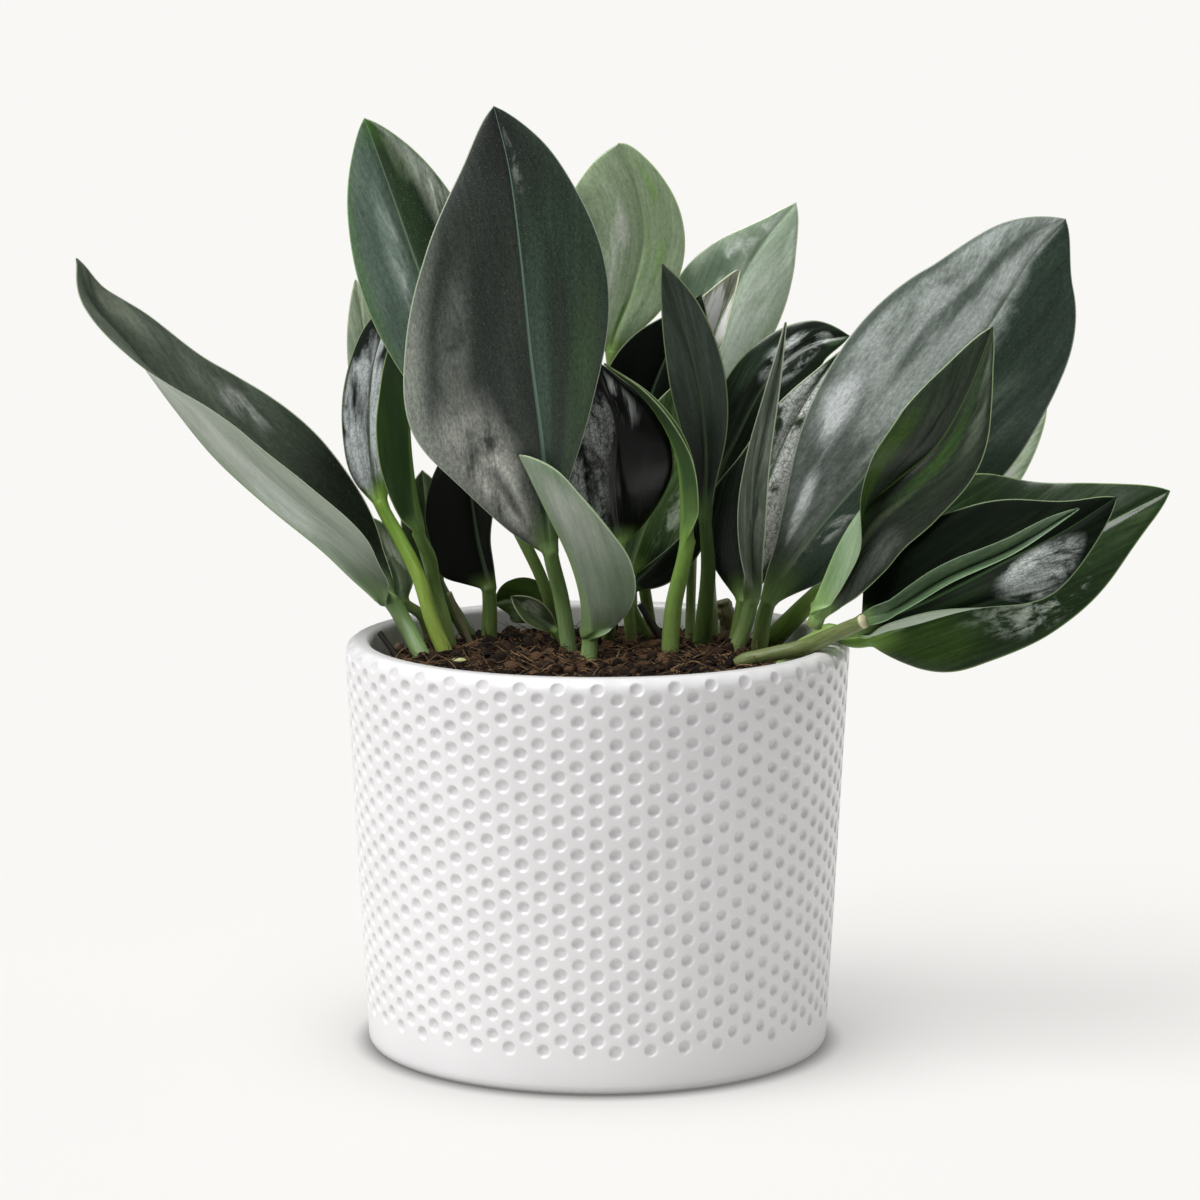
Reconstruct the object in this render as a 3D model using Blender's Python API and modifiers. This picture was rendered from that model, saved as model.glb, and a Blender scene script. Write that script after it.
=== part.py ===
"""Potted scindapsus: a white ceramic pot, its soil, and a clump of long-leaved
cuttings, each leaf grown on its own stalk out of the soil.

Frame: origin at the centre of the pot's base, +Z up, -Y the front, +X the
right-hand side. Every length below is in millimetres and is made metres by MM.
"""
import bpy
import bmesh
import numpy as np
from math import pi, sin, cos, radians, exp
from mathutils import Vector

MM = 0.001

# ---- driving dimensions ---------------------------------------------------
POT_HEIGHT = 114.0        # base to the crest of the lip
POT_TOP_RADIUS = 70.0     # outer wall where the lip's rounding begins
POT_BASE_RADIUS = 64.2    # outer wall carried down to the base plane
LIP_ROUND = 3.5           # outer rounding of the lip
LIP_INNER_ROUND = 2.0     # inner rounding of the lip
BORE_TOP_RADIUS = 63.0    # inner wall under the lip
BORE_FLOOR_RADIUS = 57.0  # inner wall at the floor
FLOOR_THICKNESS = 8.0
BASE_BEVEL = 2.0          # rounding of the foot
POT_STEPS = 48

GAP = 0.3                 # air between two pieces that touch
SOCKET_GAP = 0.35         # air round a stalk where it enters the soil
SOIL_CROWN = 109.4        # soil height on the axis
SOIL_EDGE = 105.0         # soil height at the wall
SOIL_STEPS = 40
FOOT_DEPTH = 104.0        # how deep the stalks are set

EDGE = 0.4                # half thickness of a leaf at its margin


# ---- scene ----------------------------------------------------------------
for ob in list(bpy.data.objects):
    bpy.data.objects.remove(ob, do_unlink=True)

parts = bpy.data.collections.new("potted_scindapsus")
bpy.context.scene.collection.children.link(parts)
guides = bpy.data.collections.new("cutters")
bpy.context.scene.collection.children.link(guides)


def material(name, colour, roughness, metallic=0.0):
    m = bpy.data.materials.new(name)
    m.use_nodes = True
    b = m.node_tree.nodes["Principled BSDF"]
    b.inputs["Base Color"].default_value = (*colour, 1.0)
    b.inputs["Roughness"].default_value = roughness
    b.inputs["Metallic"].default_value = metallic
    return m


def mesh_object(name, verts, faces, mat, collection=parts, sharp=50.0):
    """a closed body from millimetre points and outward faces, smooth"""
    bm = bmesh.new()
    vs = [bm.verts.new(Vector(v) * MM) for v in verts]
    for f in faces:
        bm.faces.new([vs[i] for i in f])
    me = bpy.data.meshes.new(name)
    bm.to_mesh(me)
    bm.free()
    me.shade_smooth()
    me.set_sharp_from_angle(angle=radians(sharp))
    me.materials.append(mat)
    ob = bpy.data.objects.new(name, me)
    collection.objects.link(ob)
    return ob


def loft(rings, tip=None):
    """points and outward faces of a body through equal rings; a ring turns
    anticlockwise seen from its end. tip closes the last ring to a point."""
    n, m = len(rings[0]), len(rings)
    verts = [v for row in rings for v in row]
    faces = [tuple(reversed(range(n)))]
    faces += [(i * n + j, i * n + (j + 1) % n, (i + 1) * n + (j + 1) % n, (i + 1) * n + j)
              for i in range(m - 1) for j in range(n)]
    last = (m - 1) * n
    if tip is None:
        faces.append(tuple(last + j for j in range(n)))
    else:
        verts.append(tip)
        faces += [(last + j, last + (j + 1) % n, m * n) for j in range(n)]
    return verts, faces


def turned(name, profile, steps, mat):
    """a solid of revolution from (radius, height) pairs, axis to axis"""
    bm = bmesh.new()
    vs = [bm.verts.new((r * MM, 0.0, z * MM)) for r, z in profile]
    for a, b in zip(vs, vs[1:]):
        bm.edges.new((a, b))
    me = bpy.data.meshes.new(name)
    bm.to_mesh(me)
    bm.free()
    me.materials.append(mat)
    ob = bpy.data.objects.new(name, me)
    parts.objects.link(ob)
    s = ob.modifiers.new("turn", "SCREW")
    s.axis = "Z"
    s.angle = 2 * pi
    s.steps = steps
    s.render_steps = steps
    s.use_merge_vertices = True
    s.merge_threshold = 0.00001
    s.use_normal_calculate = True
    s.use_smooth_shade = True
    return ob


# ---- curves ---------------------------------------------------------------
def unit(v):
    v = np.asarray(v, float)
    return v / max(float(np.linalg.norm(v)), 1e-9)


def smooth_path(points, per=24):
    """centripetal Catmull-Rom curve through the points, and each point's index"""
    p = np.array(points, float)
    p = np.vstack([2 * p[0] - p[1], p, 2 * p[-1] - p[-2]])
    out, marks = [], [0]
    for i in range(1, len(p) - 2):
        a, b, c, d = p[i - 1], p[i], p[i + 1], p[i + 2]
        ta = 0.0
        tb = ta + max(np.linalg.norm(b - a), 1e-6) ** 0.5
        tc = tb + max(np.linalg.norm(c - b), 1e-6) ** 0.5
        td = tc + max(np.linalg.norm(d - c), 1e-6) ** 0.5
        for t in np.linspace(tb, tc, per, endpoint=False):
            a1 = (tb - t) / (tb - ta) * a + (t - ta) / (tb - ta) * b
            a2 = (tc - t) / (tc - tb) * b + (t - tb) / (tc - tb) * c
            a3 = (td - t) / (td - tc) * c + (t - tc) / (td - tc) * d
            b1 = (tc - t) / (tc - ta) * a1 + (t - ta) / (tc - ta) * a2
            b2 = (td - t) / (td - tb) * a2 + (t - tb) / (td - tb) * a3
            out.append((tc - t) / (tc - tb) * b1 + (t - tb) / (tc - tb) * b2)
        marks.append(len(out))
    out.append(p[-2])
    return np.array(out), marks


def stations(points, marks, neck, n_stalk, n_blade):
    """points, directions and s along the curve; s is below 0 on the stalk and
    runs 0 to 1 over the blade"""
    d = np.r_[0, np.cumsum(np.linalg.norm(np.diff(points, axis=0), axis=1))]
    dn = d[marks[neck]]
    a = np.linspace(0, dn, n_stalk + 1)[:-1]
    u = np.linspace(0, 1, n_blade + 1)
    u = 0.55 * u + 0.45 * (0.5 - 0.5 * np.cos(pi * u))
    at = np.r_[a, dn + (d[-1] - dn) * u]
    e = 1e-3 * d[-1]

    def read(x):
        return np.stack([np.interp(x, d, points[:, k]) for k in range(3)], -1)

    tan = read(np.minimum(at + e, d[-1])) - read(np.maximum(at - e, 0))
    tan /= np.linalg.norm(tan, axis=1)[:, None]
    s = np.where(at < dn, (at - dn) / dn, (at - dn) / (d[-1] - dn))
    return read(at), tan, s


def hermite(keys, s):
    """smooth value at s through five keys at 0.1, 0.3, 0.5, 0.7 and 0.9"""
    t = min(max((s - 0.1) / 0.2, 0.0), 4.0)
    i = min(int(t), 3)
    t -= i
    a, b, c, d = keys[max(i - 1, 0)], keys[i], keys[i + 1], keys[min(i + 2, 4)]
    m0, m1 = (c - a) / 2, (d - b) / 2
    return (b * (2 * t**3 - 3 * t * t + 1) + m0 * (t**3 - 2 * t * t + t)
            + c * (3 * t * t - 2 * t**3) + m1 * (t**3 - t * t))


def blend(keys, s):
    """value at s from keys at the blade's base, middle and tip"""
    if len(keys) == 5:
        return hermite(keys, s)
    s = min(max(s, 0.0), 1.0)
    i = 0 if s < 0.5 else 1
    t = (s - 0.5 * i) / 0.5
    return keys[i] + (keys[i + 1] - keys[i]) * (t * t * (3 - 2 * t))


def spread(value, count=3):
    """one number, or a list of them, as (left, right) pairs"""
    if not isinstance(value, list):
        value = [value] * count
    return [v if isinstance(v, tuple) else (v, v) for v in value]


def section_arc(fold, curl, w, d):
    """where a half blade stands, d out from the midrib: raised by fold and
    drooping by curl over its width w"""
    a, k = radians(fold), radians(curl) / max(w, 1e-6)
    if abs(k) < 1e-6:
        return d * cos(a), d * sin(a)
    return (sin(a) - sin(a - k * d)) / k, (cos(a - k * d) - cos(a)) / k


# ---- a leaf on its stalk --------------------------------------------------
SOIL_RADIUS = BORE_TOP_RADIUS - GAP


def soil_height(x, y):
    q = min((x * x + y * y) ** 0.5 / SOIL_RADIUS, 1.0)
    return SOIL_CROWN - (SOIL_CROWN - SOIL_EDGE) * q ** 4


sockets = []


def leaf(name, path, neck, left, right, face, mat, fold=10, curl=0,
         stalk=(2.0, 1.8), blunt=0.75, fine=False, rooted=True):
    """A blade lofted along its midrib. The round stalk flattens into the blade
    at path[neck]. left and right are the half widths at 0.1, 0.3, 0.5, 0.7 and
    0.9 of the blade, on a rounded leaf outline; face is where the upper side
    looks; fold lifts the halves into a V and curl lets their margins droop."""
    ring = 12 if fine else 8
    pts, marks = smooth_path(path)
    P, T, S = stations(pts, marks, neck, 6 if fine else 5, 12 if fine else 9)
    faces3 = [unit(f) for f in (face if isinstance(face, list) else [face] * 3)]
    fold, curl = spread(fold), spread(curl)
    foot_r, neck_r = stalk
    rings = []
    for p, t, s in zip(P, T, S):
        n = blend(faces3, max(s, 0.0))
        n = unit(n - t * (n @ t))
        a = np.cross(t, n)
        row = []
        if s < 0:
            r = neck_r + (foot_r - neck_r) * -s
            for k in range(ring):
                q = -2 * pi * k / ring
                row.append(p + a * r * cos(q) + n * r * sin(q))
            rings.append(row)
            continue
        rm = neck_r * (1 - s) ** 1.3 + 0.3
        outline = max(sin(pi * s), 0.0) ** (0.75 if s < 0.5 else blunt)
        gl, gr = outline * hermite(left, s), outline * hermite(right, s)
        ease = min(1.0, max(gl, gr) / (2.5 * neck_r)) if s < 0.5 else 1.0
        rib = EDGE + (neck_r - EDGE) * exp(-s / 0.16)
        below = 1 + 0.85 * ease
        side = []
        for j, g in ((0, gl), (1, gr)):
            w = (rm ** 2 + g ** 2) ** 0.5
            side.append((w, blend([v[j] for v in fold], s) * ease,
                         blend([v[j] for v in curl], s) * ease))
        for k in range(ring):
            q = -2 * pi * k / ring
            c, h = cos(q), sin(q)
            w, f, u = side[1 if c >= 0 else 0]
            hand = 1 if c >= 0 else -1
            d = abs(c) * w
            x, z = section_arc(f, u, w, d)
            lean = radians(f - u * abs(c)) if abs(c) > 0.05 else 0.0
            swell = exp(-(d / (1.6 * rib)) ** 2)
            off = h * (EDGE + (rib - EDGE) * swell * ((2 - below) if h > 0 else below))
            row.append(p + a * hand * (x - sin(lean) * off) + n * (z + cos(lean) * off))
        rings.append(row)
    mesh_object(name, *loft(rings, np.mean(rings[-1], axis=0) + T[-1] * 0.3), mat)
    if rooted:
        # the socket: the stalk's own first rings, grown by the gap
        cut = []
        for i, (row, p, t) in enumerate(zip(rings, P, T)):
            r = foot_r + (neck_r - foot_r) * (1 + S[i]) if S[i] < 0 else neck_r
            p = p - t * 0.4 if i == 0 else p
            row = [v - (t * 0.4 if i == 0 else 0 * t) for v in row]
            cut.append([p + (v - p) * (r + SOCKET_GAP) / r for v in row])
            if i and P[i][2] > SOIL_CROWN + 2:
                break
        sockets.append((name, cut))


# ---- materials ------------------------------------------------------------
glaze = material("glazed_ceramic", (0.83, 0.83, 0.81), 0.35)
earth = material("coir_soil", (0.035, 0.018, 0.010), 0.95)
dark = material("leaf_dark", (0.030, 0.048, 0.036), 0.28)
deep = material("leaf_deep", (0.016, 0.022, 0.020), 0.25)
green = material("leaf_green", (0.045, 0.085, 0.045), 0.30)
pale = material("leaf_pale", (0.22, 0.30, 0.16), 0.35)
silver = material("leaf_silver", (0.20, 0.24, 0.21), 0.30)
stem_green = material("stalk_green", (0.10, 0.19, 0.05), 0.40)
stem_dark = material("stalk_dark", (0.035, 0.030, 0.018), 0.60)
stone = material("pebble_grey", (0.50, 0.50, 0.47), 0.70)

# ---- pot ------------------------------------------------------------------
# centre of the floor, out and up the inner wall, over the lip, down the
# outer wall and back in under the base
taper = (POT_TOP_RADIUS - POT_BASE_RADIUS) / (POT_HEIGHT - LIP_ROUND)
profile = [(0.0, FLOOR_THICKNESS), (BORE_FLOOR_RADIUS - 4, FLOOR_THICKNESS),
           (BORE_FLOOR_RADIUS - 1, FLOOR_THICKNESS + 1.0),
           (BORE_FLOOR_RADIUS, FLOOR_THICKNESS + 4.0)]
for k in range(3):
    q = radians(180 - 45 * k)
    profile.append((BORE_TOP_RADIUS + LIP_INNER_ROUND * (1 + cos(q)),
                    POT_HEIGHT - LIP_INNER_ROUND * (1 - sin(q))))
for k in range(5):
    q = radians(90 - 22.5 * k)
    profile.append((POT_TOP_RADIUS - LIP_ROUND * (1 - cos(q)),
                    POT_HEIGHT - LIP_ROUND * (1 - sin(q))))
for k in range(4):
    q = radians(30 * k)
    profile.append((POT_BASE_RADIUS + taper * BASE_BEVEL - BASE_BEVEL * (1 - cos(q)),
                    BASE_BEVEL * (1 - sin(q))))
profile.append((0.0, 0.0))
turned("pot", profile, POT_STEPS, glaze)

# ---- leaves ---------------------------------------------------------------
# each row: the midrib from the foot in the soil to the tip
F = FOOT_DEPTH

leaf("leaf_tall_front", [(-7, 0, F), (-10, -2, 125), (-13, -6, 139), (-15, -12, 168), (-18, -15, 193), (-21, -16, 223), (-24, -13, 245), (-28, -10, 261)],
     neck=2, left=(38, 40, 34, 30, 27), right=(10, 17, 23, 26, 27), face=(0.2, -1, 0.1), fold=8, curl=25, stalk=(2.3, 2.1), fine=True, mat=dark)
leaf("leaf_tall_left", [(-10, 20, F), (-15, 6, 128), (-26, 4, 152), (-37, 4, 183), (-48, 5, 212), (-55, 6, 232), (-61, 7, 249), (-64, 8, 257)],
     neck=2, left=(15, 15, 17, 19, 21), right=(18, 20, 20, 20, 22), face=(-0.1, -1, 0.15), fold=8, curl=25, stalk=(1.7, 1.7), fine=True, mat=dark)
leaf("leaf_back_left_narrow", [(-41, 35, F), (-50, 28, 137), (-55, 28, 155), (-63, 28, 180), (-68, 28, 211)],
     neck=2, left=(6, 6, 6, 6, 6), right=(8, 8, 8, 8, 8), face=(-0.2, -1, 0.1), stalk=(1.5, 1.3), mat=silver)
leaf("leaf_left_upright", [(-41, 9, F), (-46, 10, 116), (-50, 12, 129), (-56, 17, 140), (-61, 20, 149), (-64, 21, 166), (-63, 22, 187), (-57, 23, 206)],
     neck=4, left=(12, 9, 8, 8, 10), right=(12, 10, 10, 10, 10), face=(-0.4, -1, 0.1), fold=18, curl=20, stalk=(2.3, 1.9), mat=dark)
leaf("leaf_left_folded", [(-41, 19, F), (-43, 18, 115), (-46, 17, 126), (-47, 14, 134), (-50, 9, 142), (-52, 7, 163), (-53, 10, 179), (-56, 13, 198)],
     neck=4, left=(7, 7, 7, 7, 8), right=(12, 12, 12, 12, 13), face=(-1, -0.1, 0.1), fold=[(45, 58), (45, 58), (45, 50)], curl=10, stalk=(2, 1.9), mat=green)
leaf("leaf_left_spreading", [(-47, 3, F), (-51, 8, 111), (-54, 12, 116), (-58, 14, 122), (-68, 14, 130), (-76, 13, 137), (-91, 11, 149), (-106, 9, 163), (-117, 7, 177), (-129, 5, 194), (-140, 3, 208), (-143, 2, 219)],
     neck=3, left=(40, 31, 24, 21, 14), right=(30, 29, 25, 18, 17), face=[(0.69, -0.34, 0.64), (0.69, -0.34, 0.64), (0.6, -0.6, 0.5)], fold=[(60, 50), (58, 42), (18, 15)], curl=10, stalk=(2.5, 2.4), fine=True, mat=dark)
leaf("leaf_back_low", [(-31, 29, F), (-31, 31, 123), (-34, 31, 137), (-36, 31, 151), (-38, 30, 169)],
     neck=1, left=(24, 16, 14, 13, 12), right=(4, 4, 6, 8, 8), face=(0, -1, -0.1), stalk=(2.4, 2), mat=deep)
leaf("leaf_back_low_dark", [(-34, 36, F), (-40, 35, 114), (-46, 36, 125), (-48, 36, 139), (-50, 37, 156)],
     neck=2, left=(8, 8, 8, 8, 8), right=(8, 8, 8, 8, 8), face=(0, -1, 0), stalk=(2.2, 1.8), mat=deep)
leaf("leaf_left_small", [(-47, 31, F), (-50, 26, 116), (-55, 26, 120), (-57, 26, 128), (-60, 26, 135), (-64, 26, 144)],
     neck=2, left=(6, 6, 6, 6, 6), right=(6, 6, 6, 6, 6), face=(0, -1, 0.2), stalk=(1.6, 1.5), mat=deep)
leaf("leaf_top_centre", [(10, 48, F), (8, 38, 170), (4, 36, 190), (10, 36, 208), (13, 36, 223), (11, 35, 237), (6, 34, 249)],
     neck=2, left=(20, 21, 22, 24, 32), right=(11, 12, 12, 11, 9), face=(0.1, -1, 0.3), fold=12, curl=20, stalk=(1.8, 1.6), blunt=0.5, fine=True, mat=green)
leaf("leaf_top_right", [(22, 50, F), (26, 40, 167), (33, 40, 190), (39, 40, 207), (47, 39, 221), (56, 38, 232)],
     neck=1, left=(18, 18, 17, 14, 8), right=(10, 14, 15, 16, 17), face=(0.1, -1, 0.3), fold=12, curl=20, stalk=(1.8, 1.6), fine=True, mat=silver)
leaf("leaf_small_folded", [(26, 29, F), (29, 30, 177), (32, 31, 193), (37, 31, 206), (40, 31, 214)],
     neck=1, left=(9, 9, 9, 9, 8), right=(4, 4, 4, 3, 3), face=(-0.2, -1, 0.2), fold=30, stalk=(1.4, 1.3), mat=green)
leaf("leaf_centre_narrow", [(29, 21, F), (31, 12, 131), (30, 8, 147), (30, 7, 167), (28, 6, 184), (23, 7, 203), (18, 8, 217)],
     neck=2, left=(7, 7, 8, 8, 8), right=(5, 7, 8, 9, 10), face=(-0.1, -1, 0), fold=15, stalk=(2.8, 1.7), mat=deep)
leaf("leaf_back_centre", [(16, 42, F), (10, 26, 155), (13, 26, 172), (19, 26, 189), (29, 26, 207)],
     neck=1, left=(15, 15, 14, 12, 8), right=(14, 14, 14, 14, 14), face=(0, -1, 0.2), stalk=(1.8, 1.6), mat=deep)
leaf("leaf_centre_broad", [(2, 24, F), (5, 5, 127), (6, 8, 139), (5, 5, 157), (5, 4, 174), (0, 6, 190)],
     neck=2, left=(17, 17, 16, 16, 16), right=(17, 17, 16, 14, 10), face=(0, -1, 0.25), fold=12, curl=25, stalk=(1.8, 1.6), mat=deep)
leaf("leaf_centre_folded", [(20, 3, F), (21, 3, 121), (25, 0, 141), (24, -1, 153), (22, -1, 165), (18, -1, 174), (12, 0, 182), (2, 3, 190)],
     neck=2, left=(11, 9, 6, 4, 3), right=(6, 5, 4, 3, 2), face=(0.95, -0.25, 0.3), fold=45, stalk=(2.5, 2.3), mat=green)
leaf("leaf_inner_pale", [(10, 20, F), (9, 16, 129), (16, 17, 150), (23, 18, 167), (29, 20, 187)],
     neck=1, left=(14, 14, 14, 14, 14), right=(14, 14, 14, 14, 14), face=(0, -1, 0.4), stalk=(1.7, 1.6), mat=pale)
leaf("leaf_inner_dark", [(17, 30, F), (9, 24, 123), (16, 25, 131), (26, 26, 141), (31, 27, 147)],
     neck=1, left=(8, 8, 8, 8, 8), right=(8, 8, 8, 8, 8), face=(0, -1, 0.2), stalk=(1.6, 1.5), mat=deep)
leaf("leaf_front_small", [(-3, -10, F), (-2, -8, 115), (-3, -10, 124), (-7, -12, 137), (-14, -15, 152), (-21, -17, 167)],
     neck=1, left=(24, 18, 13, 12, 14), right=(18, 17, 13, 12, 14), face=(1, 0.15, 0.2), fold=75, stalk=(2.6, 2.3), fine=True, mat=pale)
leaf("leaf_young_back", [(-11, 46, F), (-14, 45, 111), (-20, 48, 116), (-25, 50, 117), (-30, 50, 116)],
     neck=1, left=(7, 7, 7, 7, 7), right=(7, 7, 7, 7, 7), face=(0, -1, 0.3), stalk=(1.5, 1.4), mat=pale)
leaf("leaf_torn_scrap", [(-6, 9, F), (-12, 5, 115), (-18, 4, 120), (-24, 3, 125)],
     neck=1, left=(4, 4, 4, 4, 4), right=(4, 4, 4, 4, 4), face=(0, -1, 0.5), fold=30, stalk=(1.2, 1), mat=pale)
leaf("leaf_back_right", [(33, 36, F), (32, 33, 147), (39, 33, 165), (50, 33, 185), (61, 33, 193), (71, 32, 195)],
     neck=1, left=(10, 10, 10, 10, 12), right=(12, 14, 14, 12, 12), face=(-0.1, -1, 0.2), fold=12, curl=20, stalk=(2, 1.8), fine=True, mat=dark)
leaf("leaf_right_folded", [(37, 8, F), (43, 7, 123), (43, 4, 141), (44, 3, 160), (48, 4, 180), (52, 6, 201)],
     neck=1, left=(11, 11, 8, 7, 6), right=(6, 5, 4, 3, 3), face=(0.2, -1, 0), fold=50, stalk=(2.3, 2), mat=green)
leaf("leaf_right_mottled", [(38, 16, F), (41, 15, 122), (43, 15, 139), (49, 16, 159), (57, 17, 176), (68, 18, 192)],
     neck=1, left=(20, 17, 10, 8, 6), right=(14, 14, 14, 14, 14), face=(-0.1, -1, 0.2), fold=12, curl=20, stalk=(2.3, 2), fine=True, mat=silver)
leaf("leaf_right_large", [(45, 16, F), (48, 13, 122), (58, 8, 139), (73, 4, 158), (92, 0, 182), (108, -2, 202), (119, -2, 220), (128, -1, 230)],
     neck=1, left=(14, 23, 27, 30, 33), right=(24, 26, 30, 31, 34), face=(0.1, -1, 0.2), curl=20, stalk=(2.5, 2.2), fine=True, mat=silver)
leaf("leaf_back_right_low", [(46, 33, F), (64, 18, 125), (85, 18, 142), (107, 20, 158), (126, 22, 175)],
     neck=1, left=(14, 14, 14, 14, 14), right=(14, 14, 14, 14, 14), face=(-0.1, -1, 0.4), stalk=(3.2, 2.6), mat=dark)
leaf("leaf_front_right_upright", [(59, -23, 121), (60, -24, 124), (62, -25, 132), (66, -26, 144), (72, -28, 154), (81, -30, 162), (91, -31, 171), (99, -31, 185), (106, -29, 203)],
     neck=1, left=(14, 14, 13, 15, 15), right=(24, 18, 15, 13, 9), face=[(0.1, -1, 0.1), (0, -1, 0.2), (0, -1, 0.2)], fold=[(122, 40), (108, 20), (45, 10), (12, 10), (10, 10)], curl=[(0, 15), (0, 15), (10, 15), (15, 15), (15, 15)], stalk=(2.2, 2.2), fine=True, rooted=False, mat=dark)
leaf("leaf_right_low_dark", [(46, 0, F), (58, -9, 114), (64, -13, 117), (72, -19, 119), (79, -27, 124), (88, -34, 129), (108, -38, 140), (125, -38, 149), (139, -37, 158)],
     neck=3, left=(30, 23, 19, 17, 12), right=(18, 18, 17, 16, 14), face=[(-0.1, -0.9, 0.3), (-0.1, -0.9, 0.3), (-0.1, -1, 0.3)], fold=[(8, 10), (8, 10), (8, 10), (8, 8), (8, 8)], curl=[(15, -100), (15, -120), (15, -70), (15, 0), (15, 15)], stalk=(2, 1.9), fine=True, mat=deep)
leaf("leaf_young_rolled", [(48, -6, F), (57, -14, 114), (63, -19, 117), (72, -27, 123), (79, -35, 127), (93, -43, 137), (111, -47, 146), (128, -45, 156)],
     neck=3, left=(6, 6, 6, 6, 8), right=(6, 6, 5, 5, 5), face=(-0.1, -1, 0.3), fold=60, stalk=(1.8, 1.7), mat=green)
leaf("leaf_right_low_green", [(48, 6, F), (59, -3, 113), (64, -7, 117), (70, -11, 115), (75, -15, 116), (97, -17, 126), (121, -18, 138), (140, -18, 149), (156, -16, 157)],
     neck=4, left=(26, 31, 30, 21, 17), right=(30, 22, 19, 17, 14), face=(-0.1, -1, 0.3), curl=20, stalk=(2.2, 2), fine=True, mat=green)


# ---- cut stems, twigs and bits on the soil ---------------------------------
def rod(name, path, radii, mat, rooted=True, sides=8, count=7):
    """a round stem along a smooth path, with its ends closed"""
    pts, _ = smooth_path(path)
    d = np.r_[0, np.cumsum(np.linalg.norm(np.diff(pts, axis=0), axis=1))]
    at = np.linspace(0, d[-1], count)
    P = np.stack([np.interp(at, d, pts[:, k]) for k in range(3)], -1)
    T = np.gradient(P, axis=0)
    R = np.interp(at / d[-1], np.linspace(0, 1, len(radii)), radii)
    u = np.array((0.3, 1.0, 0.1))
    rings = []
    for p, t, r in zip(P, T, R):
        t = unit(t)
        u = unit(u - t * (u @ t))
        v = np.cross(t, u)
        rings.append([p + r * (cos(2 * pi * k / sides) * u + sin(2 * pi * k / sides) * v)
                      for k in range(sides)])
    mesh_object(name, *loft(rings), mat)
    if rooted:
        cut = []
        for i in range(count):
            t = unit(T[i])
            back = t * 0.4 if i == 0 else t * 0.0
            cut.append([P[i] - back + (v - P[i]) * (R[i] + SOCKET_GAP) / R[i] for v in rings[i]])
            if i and P[i][2] > SOIL_CROWN + 2:
                break
        sockets.append((name, cut))


rod("stem_cut_cane", [(38, -14, F), (39, -15, 109), (47, -18, 112), (57, -22, 115), (65, -29, 120), (72, -34, 124)], (2.0, 2.1, 2.1, 2.3, 2.1, 1.9), stem_green, sides=10, count=10)
rod("stem_stub_centre", [(4, 33, F), (4, 33, 111), (3, 33, 117)], (2.2, 1.8), stem_dark, count=4)
rod("stem_stub_knobby", [(38, 42, F), (38, 41, 110), (36, 40, 118)], (2.4, 3.0, 2.2), stem_dark, count=6)
rod("stem_thin_dark", [(22, 20, F), (17, 20, 112), (12, 22, 120)], (1.2, 1.0), stem_dark, count=5)
rod("twig_left", [(-34, 24, F), (-38, 24, 113), (-42, 24, 123)], (1.0, 0.7), stem_dark, count=6)
rod("twig_edge", [(-53, 2, F), (-57, 5, 109), (-61, 8, 114)], (0.9, 0.8), stem_dark, count=5)


def pebble(name, x, y, size, lift, mat):
    """a small rounded piece lying on the soil"""
    bm = bmesh.new()
    bmesh.ops.create_uvsphere(bm, u_segments=12, v_segments=8, radius=1.0)
    for v in bm.verts:
        v.co.x = (v.co.x * size[0] + x) * MM
        v.co.y = (v.co.y * size[1] + y) * MM
        v.co.z = (v.co.z * size[2] + lift + size[2]) * MM
    me = bpy.data.meshes.new(name)
    bm.to_mesh(me)
    bm.free()
    me.shade_smooth()
    me.materials.append(mat)
    ob = bpy.data.objects.new(name, me)
    parts.objects.link(ob)


pebble("pebble_left", -56, 18, (1.6, 1.4, 1.5), soil_height(-56, 18) + 0.6, stone)
pebble("leaf_chip_fallen", -38, -14, (2.2, 1.6, 0.7), soil_height(-38, -14) + 0.5, pale)

# ---- soil -----------------------------------------------------------------
floor_z = FLOOR_THICKNESS + GAP
profile = [(0.0, SOIL_CROWN)]
for r in (12, 24, 36, 46, 54, 59):
    profile.append((float(r), soil_height(r, 0)))
slope = (BORE_TOP_RADIUS - BORE_FLOOR_RADIUS) / (POT_HEIGHT - LIP_INNER_ROUND - FLOOR_THICKNESS - 4)


def bore_radius(z):
    return BORE_FLOOR_RADIUS + slope * (z - FLOOR_THICKNESS - 4)


profile += [(bore_radius(SOIL_EDGE) - GAP - 0.2, SOIL_EDGE),
            (bore_radius(FLOOR_THICKNESS + 4) - GAP - 0.2, FLOOR_THICKNESS + 4),
            (BORE_FLOOR_RADIUS - 1.7, FLOOR_THICKNESS + 1.6),
            (BORE_FLOOR_RADIUS - 4.4, floor_z), (0.0, floor_z)]
soil = turned("soil", profile, SOIL_STEPS, earth)

for name, rings in sockets:
    cutter = mesh_object("socket_" + name, *loft(rings), earth, guides)
    cutter.hide_render = True
    cutter.display_type = "WIRE"
    b = soil.modifiers.new("socket_" + name, "BOOLEAN")
    b.operation = "DIFFERENCE"
    b.solver = "EXACT"
    b.object = cutter
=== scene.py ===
"""Looks for the potted scindapsus: a glazed pot with pressed dimples, coir soil,
and each leaf lofted finely along its own midrib, all in the CAD part's frame."""
from math import pi, sin, cos, radians, exp, sqrt, atan2, hypot

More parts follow.
